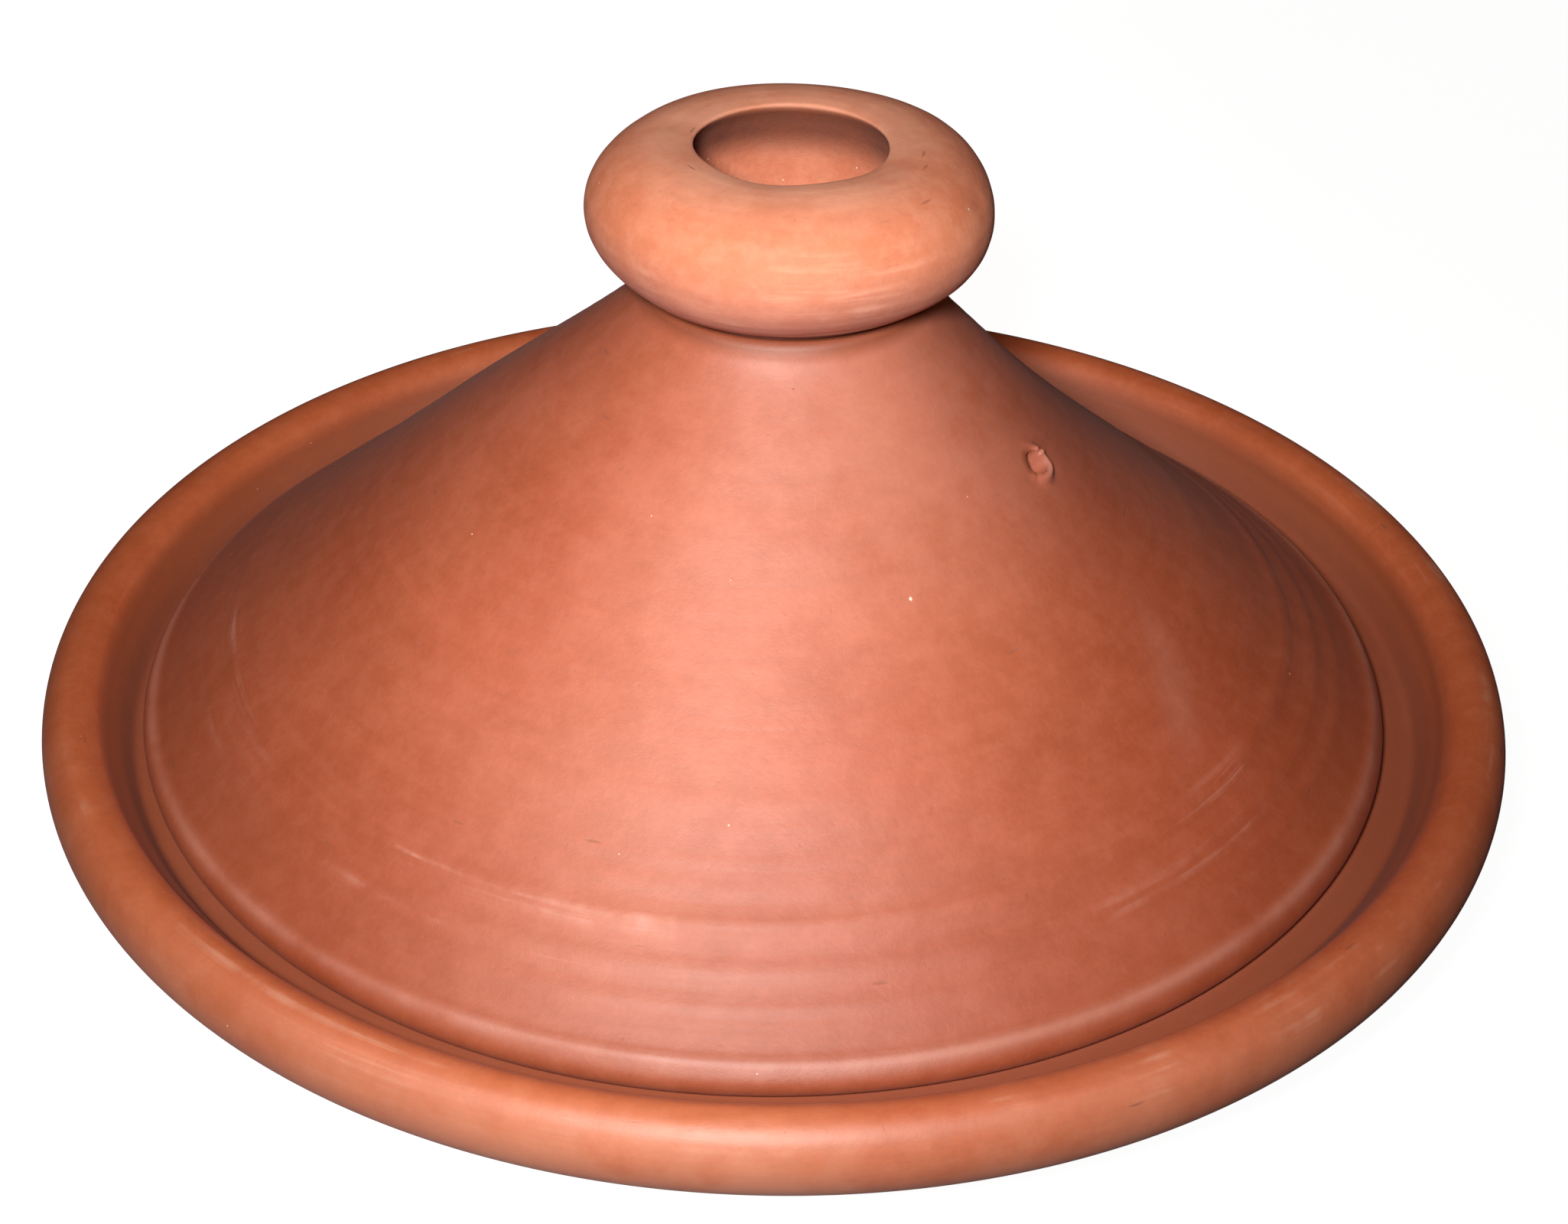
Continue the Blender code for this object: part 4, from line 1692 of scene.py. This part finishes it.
@dataclass
class KnobRing(Piece):
    """The knob: a thick ring, oval in section, round a cup with a lip that turns in."""

    node: str = "knob_ring"
    clay: Clay = Clay.KNOB
    body: Body = Body.LID
    half_width: float = 0.0174
    half_height: float = 0.0145
    mouth: float = 0.0189
    lip: float = 0.0010
    belly: float = 0.0235
    cup_base: float = 0.0205
    wiping: float = 0.0005

    def __post_init__(self) -> None:
        """Take the knob's axis, radius and heights from its solid."""
        low, high = box_of(self.node)
        self.radius = 0.5 * float(high[0] - low[0])
        self.axis_x = 0.5 * float(high[0] + low[0])
        self.base = float(low[2])
        self.middle = float(high[2]) - self.half_height

    def outline(self) -> Outline:
        """Return the section as a loop: base, outside, rounded top, lip and hollow cup.

        Returns:
            The outline.
        """
        centre = (self.radius - self.half_width, self.middle)
        base_angle = -math.degrees(math.asin((self.middle - self.base) / self.half_height))
        lip_angle = math.degrees(math.acos((self.mouth + self.lip - centre[0]) / self.half_width))
        outside = oval(centre, (self.half_width, self.half_height), base_angle, lip_angle, 200)
        lip_height = float(outside[-1, 1])
        lip = bow(outside[-1], (self.mouth, lip_height), (self.mouth, lip_height - 1.5 * self.lip))
        pull = (2.0 * self.belly - self.mouth, self.middle + 0.002)
        cup = bow(lip[-1], pull, (self.cup_base, self.base + 0.001))
        foot = np.array([[self.cup_base + 0.001, self.base]])
        return Outline.wiped([outside, lip, cup, foot], self.wiping, closed=True)

    def build(self) -> bpy.types.Object:
        """Return the knob, slightly lumpy from the hand, with faint wiping rings.

        Returns:
            The knob.
        """
        outline = self.outline()
        widest = outline.where(self.radius, self.middle)
        top = outline.where(self.radius - self.half_width, self.middle + self.half_height)
        mouth = outline.where(self.mouth, self.middle + 0.8 * self.half_height)
        dimples = (
            (-60.0, widest + 0.004, 0.0040, 0.0024, -0.00030),
            (-118.0, widest - 0.003, 0.0050, 0.0022, -0.00024),
            (-20.0, widest + 0.008, 0.0036, 0.0030, -0.00026),
            (160.0, top, 0.0040, 0.0030, -0.00030),
        )

        def heights(angle: np.ndarray, along: np.ndarray) -> np.ndarray:
            """Return slow lumps, faint rings and dimples, fading out at the base.

            Args:
                angle: Angles round the axis, as a row.
                along: Distances along the outline, as a column.

            Returns:
                A grid of heights.
            """
            radius = outline.at(along[:, 0])[:, :1]
            before_base = 1.0 - smooth_step(along, mouth + 0.018, mouth + 0.024)
            skin = smooth_step(along, 0.002, 0.006) * before_base
            slow = lumps(angle, along, 37, 0.00026, 0.045, 5)
            rings = finger_rings(angle, along, 0.0034, 0.00003)
            return skin * (slow - slow.max() + rings + dents(angle, along, radius, dimples))

        focus = (Focus(mouth, 0.004, 2.0),)
        turning = Turning(outline, self.axis_x, 190, 288, row_focus=focus, relief=heights)
        mesh = turning.mesh("knob_body")
        along = recall(mesh, "along")
        where = places(mesh)
        turn = np.degrees(np.arctan2(where[:, 1], where[:, 0] - self.axis_x))
        store(mesh, "worn", 0.5 * hump(along, 0.5 * (widest + top), 0.012))
        store(mesh, "ridge", 0.8 * hump(along, widest - 0.004, 0.012))
        before_mouth = 1.0 - smooth_step(along, mouth - 0.001, mouth + 0.001)
        top_side = smooth_step(along, widest + 0.010, widest + 0.026) * before_mouth
        store(mesh, "dust_and_highlight", 0.08 * hump(along, widest + 0.004, 0.012) + 0.50 * top_side)
        # Painted shade on the underside below the widest point, and inside the cup.
        under = 0.50 * (1.0 - smooth_step(along, widest - 0.010, widest + 0.007))
        store(mesh, "shade_and_grey", 0.15 * smooth_step(along, mouth, mouth + 0.006) + under)
        # Painted shade at the base where the knob meets the ring, and painted shadow under the
        # cup's lip, strongest on the left.
        base_edge = 1.0 - smooth_step(along, 0.0020, 0.0056)
        left = hump(turn, 180.0, 62.0) + hump(turn, -180.0, 62.0)
        above_floor = 1.0 - smooth_step(along, mouth + 0.007, mouth + 0.015)
        under_lip = smooth_step(along, mouth - 0.0006, mouth + 0.0018) * above_floor
        under_lip = under_lip * np.clip(0.75 + 0.25 * left, 0.0, 1.0)
        store(mesh, "deep", np.maximum(under_lip, base_edge))
        in_cup = smooth_step(along, mouth + 0.001, mouth + 0.006)
        store(mesh, "raw", in_cup + (1.0 - smooth_step(along, 0.0, 0.002)))
        return put_out("knob_body", mesh)


# ---- Studio --------------------------------------------------------------------------------


@dataclass(frozen=True)
class SoftLight:
    """A round soft light that looks at a point. Spread is how wide it shines, in degrees."""

    name: str
    place: Tuple[float, float, float]
    target: Tuple[float, float, float]
    size: float
    power: float
    colour: Colour = (1.0, 1.0, 1.0)
    spread: float = 180.0
    glossy: bool = True

    def hang(self) -> None:
        """Put the light up."""
        light = bpy.data.lights.new(self.name, "AREA")
        light.shape = "DISK"
        light.size = self.size
        light.energy = self.power
        light.color = self.colour
        light.spread = math.radians(self.spread)
        lamp = bpy.data.objects.new(self.name, light)
        lamp.visible_camera = False
        lamp.visible_glossy = self.glossy
        lamp.location = self.place
        aim = Vector(self.target) - Vector(self.place)
        lamp.rotation_euler = aim.to_track_quat("-Z", "Y").to_euler()
        bpy.context.scene.collection.objects.link(lamp)


@dataclass
class Studio:
    """The pale floor, the soft lights, the dim surroundings and the camera."""

    floor_half: float = 30.0
    floor_colour: Colour = (0.50, 0.50, 0.54)
    floor_shade: Colour = (0.10, 0.10, 0.10)
    floor_glow: float = 0.97
    fill_colour: Colour = (1.0, 0.44, 0.20)
    fill_strength: float = 0.08
    eye: Tuple[float, float, float] = (-0.0104, -0.5290, 0.4100)
    tilt: float = -33.47
    turn: float = -1.31
    roll: float = 0.97
    lens: float = 66.15
    lights: Tuple[SoftLight, ...] = (
        SoftLight(
            name="key",
            place=(-0.06, -0.50, 0.437),
            target=(-0.008, 0.0, 0.055),
            size=0.09,
            power=0.55,
            colour=(1.0, 0.99, 0.97),
            spread=50.0,
        ),
        SoftLight(
            name="back",
            place=(0.1, 1.3, 0.22),
            target=(0.0, 0.0, 0.06),
            size=0.8,
            power=0.42,
            colour=(1.0, 0.88, 0.78),
            spread=120.0,
            glossy=False,
        ),
    )

    def lay_floor(self) -> None:
        """Lay a plain pale floor that glows a little."""
        grid = np.array([[-1.0, -1.0, 0.0], [1.0, -1.0, 0.0], [1.0, 1.0, 0.0], [-1.0, 1.0, 0.0]])
        no_triangles = np.zeros((0, 3), dtype=int)
        mesh = new_mesh("floor", self.floor_half * grid, np.array([[0, 1, 2, 3]]), no_triangles)
        floor = put_out("floor", mesh)
        material = bpy.data.materials.new("pale_floor")
        material.use_nodes = True
        bench = Bench(material.node_tree)
        seen = bench.add("LightPath").outputs["Is Camera Ray"]
        place = bench.add("TexCoord").outputs["Object"]
        across = bench.add("SeparateXYZ", {0: place}).outputs["X"]
        # The floor's colour darkens to the right: painted shade.
        share = bench.between(across, -0.15, 0.20)
        shade = bench.blend(share, opaque(self.floor_colour), opaque(self.floor_shade))
        shader = bench.add(
            "BsdfPrincipled",
            {
                "Base Color": shade,
                "Roughness": 0.9,
                "Specular IOR Level": 0.2,
                "Emission Color": (1.0, 1.0, 1.0, 1.0),
                "Emission Strength": bench.maths("MULTIPLY", seen, self.floor_glow),
            },
        )
        output = bench.add("OutputMaterial")
        bench.feed(output.inputs["Surface"], shader.outputs["BSDF"])
        mesh.materials.append(material)

    def light(self) -> None:
        """Hang the soft lights and set the dim surroundings."""
        for soft_light in self.lights:
            soft_light.hang()
        world = bpy.data.worlds.new("studio")
        world.use_nodes = True
        bench = Bench(world.node_tree)
        seen = bench.add("LightPath").outputs["Is Camera Ray"]
        dim = tuple(self.fill_strength * channel for channel in self.fill_colour)
        tone = bench.blend(seen, opaque(dim), (1.0, 1.0, 1.0, 1.0))
        background = bench.add("Background", {"Color": tone, "Strength": 1.0})
        output = bench.add("OutputWorld")
        bench.feed(output.inputs["Surface"], background.outputs["Background"])
        bpy.context.scene.world = world

    def place_camera(self) -> None:
        """Stand the camera in front of the pot, looking down at it."""
        camera = bpy.data.cameras.new("camera")
        camera.sensor_width = 36.0
        camera.lens = self.lens
        camera.clip_start = 0.01
        holder = bpy.data.objects.new("camera", camera)
        look = Euler((math.radians(90.0 + self.tilt), 0.0, math.radians(self.turn))).to_matrix()
        turned = look @ Matrix.Rotation(math.radians(self.roll), 3, "Z")
        holder.matrix_world = Matrix.Translation(self.eye) @ turned.to_4x4()
        bpy.context.scene.collection.objects.link(holder)
        bpy.context.scene.camera = holder

    def set_up(self) -> None:
        """Build the whole studio."""
        self.lay_floor()
        self.light()
        self.place_camera()
        bpy.context.scene.view_settings.view_transform = "Standard"


def main() -> None:
    """Build the studio and then the pot, from the dish up."""
    logging.basicConfig(level=logging.INFO, format="%(message)s")
    Studio().set_up()
    effects = Effects()
    for piece in (BaseDish(), LidCone(), LutingRing(), KnobRing()):
        piece.make(effects)


if __name__ == "__main__":
    main()
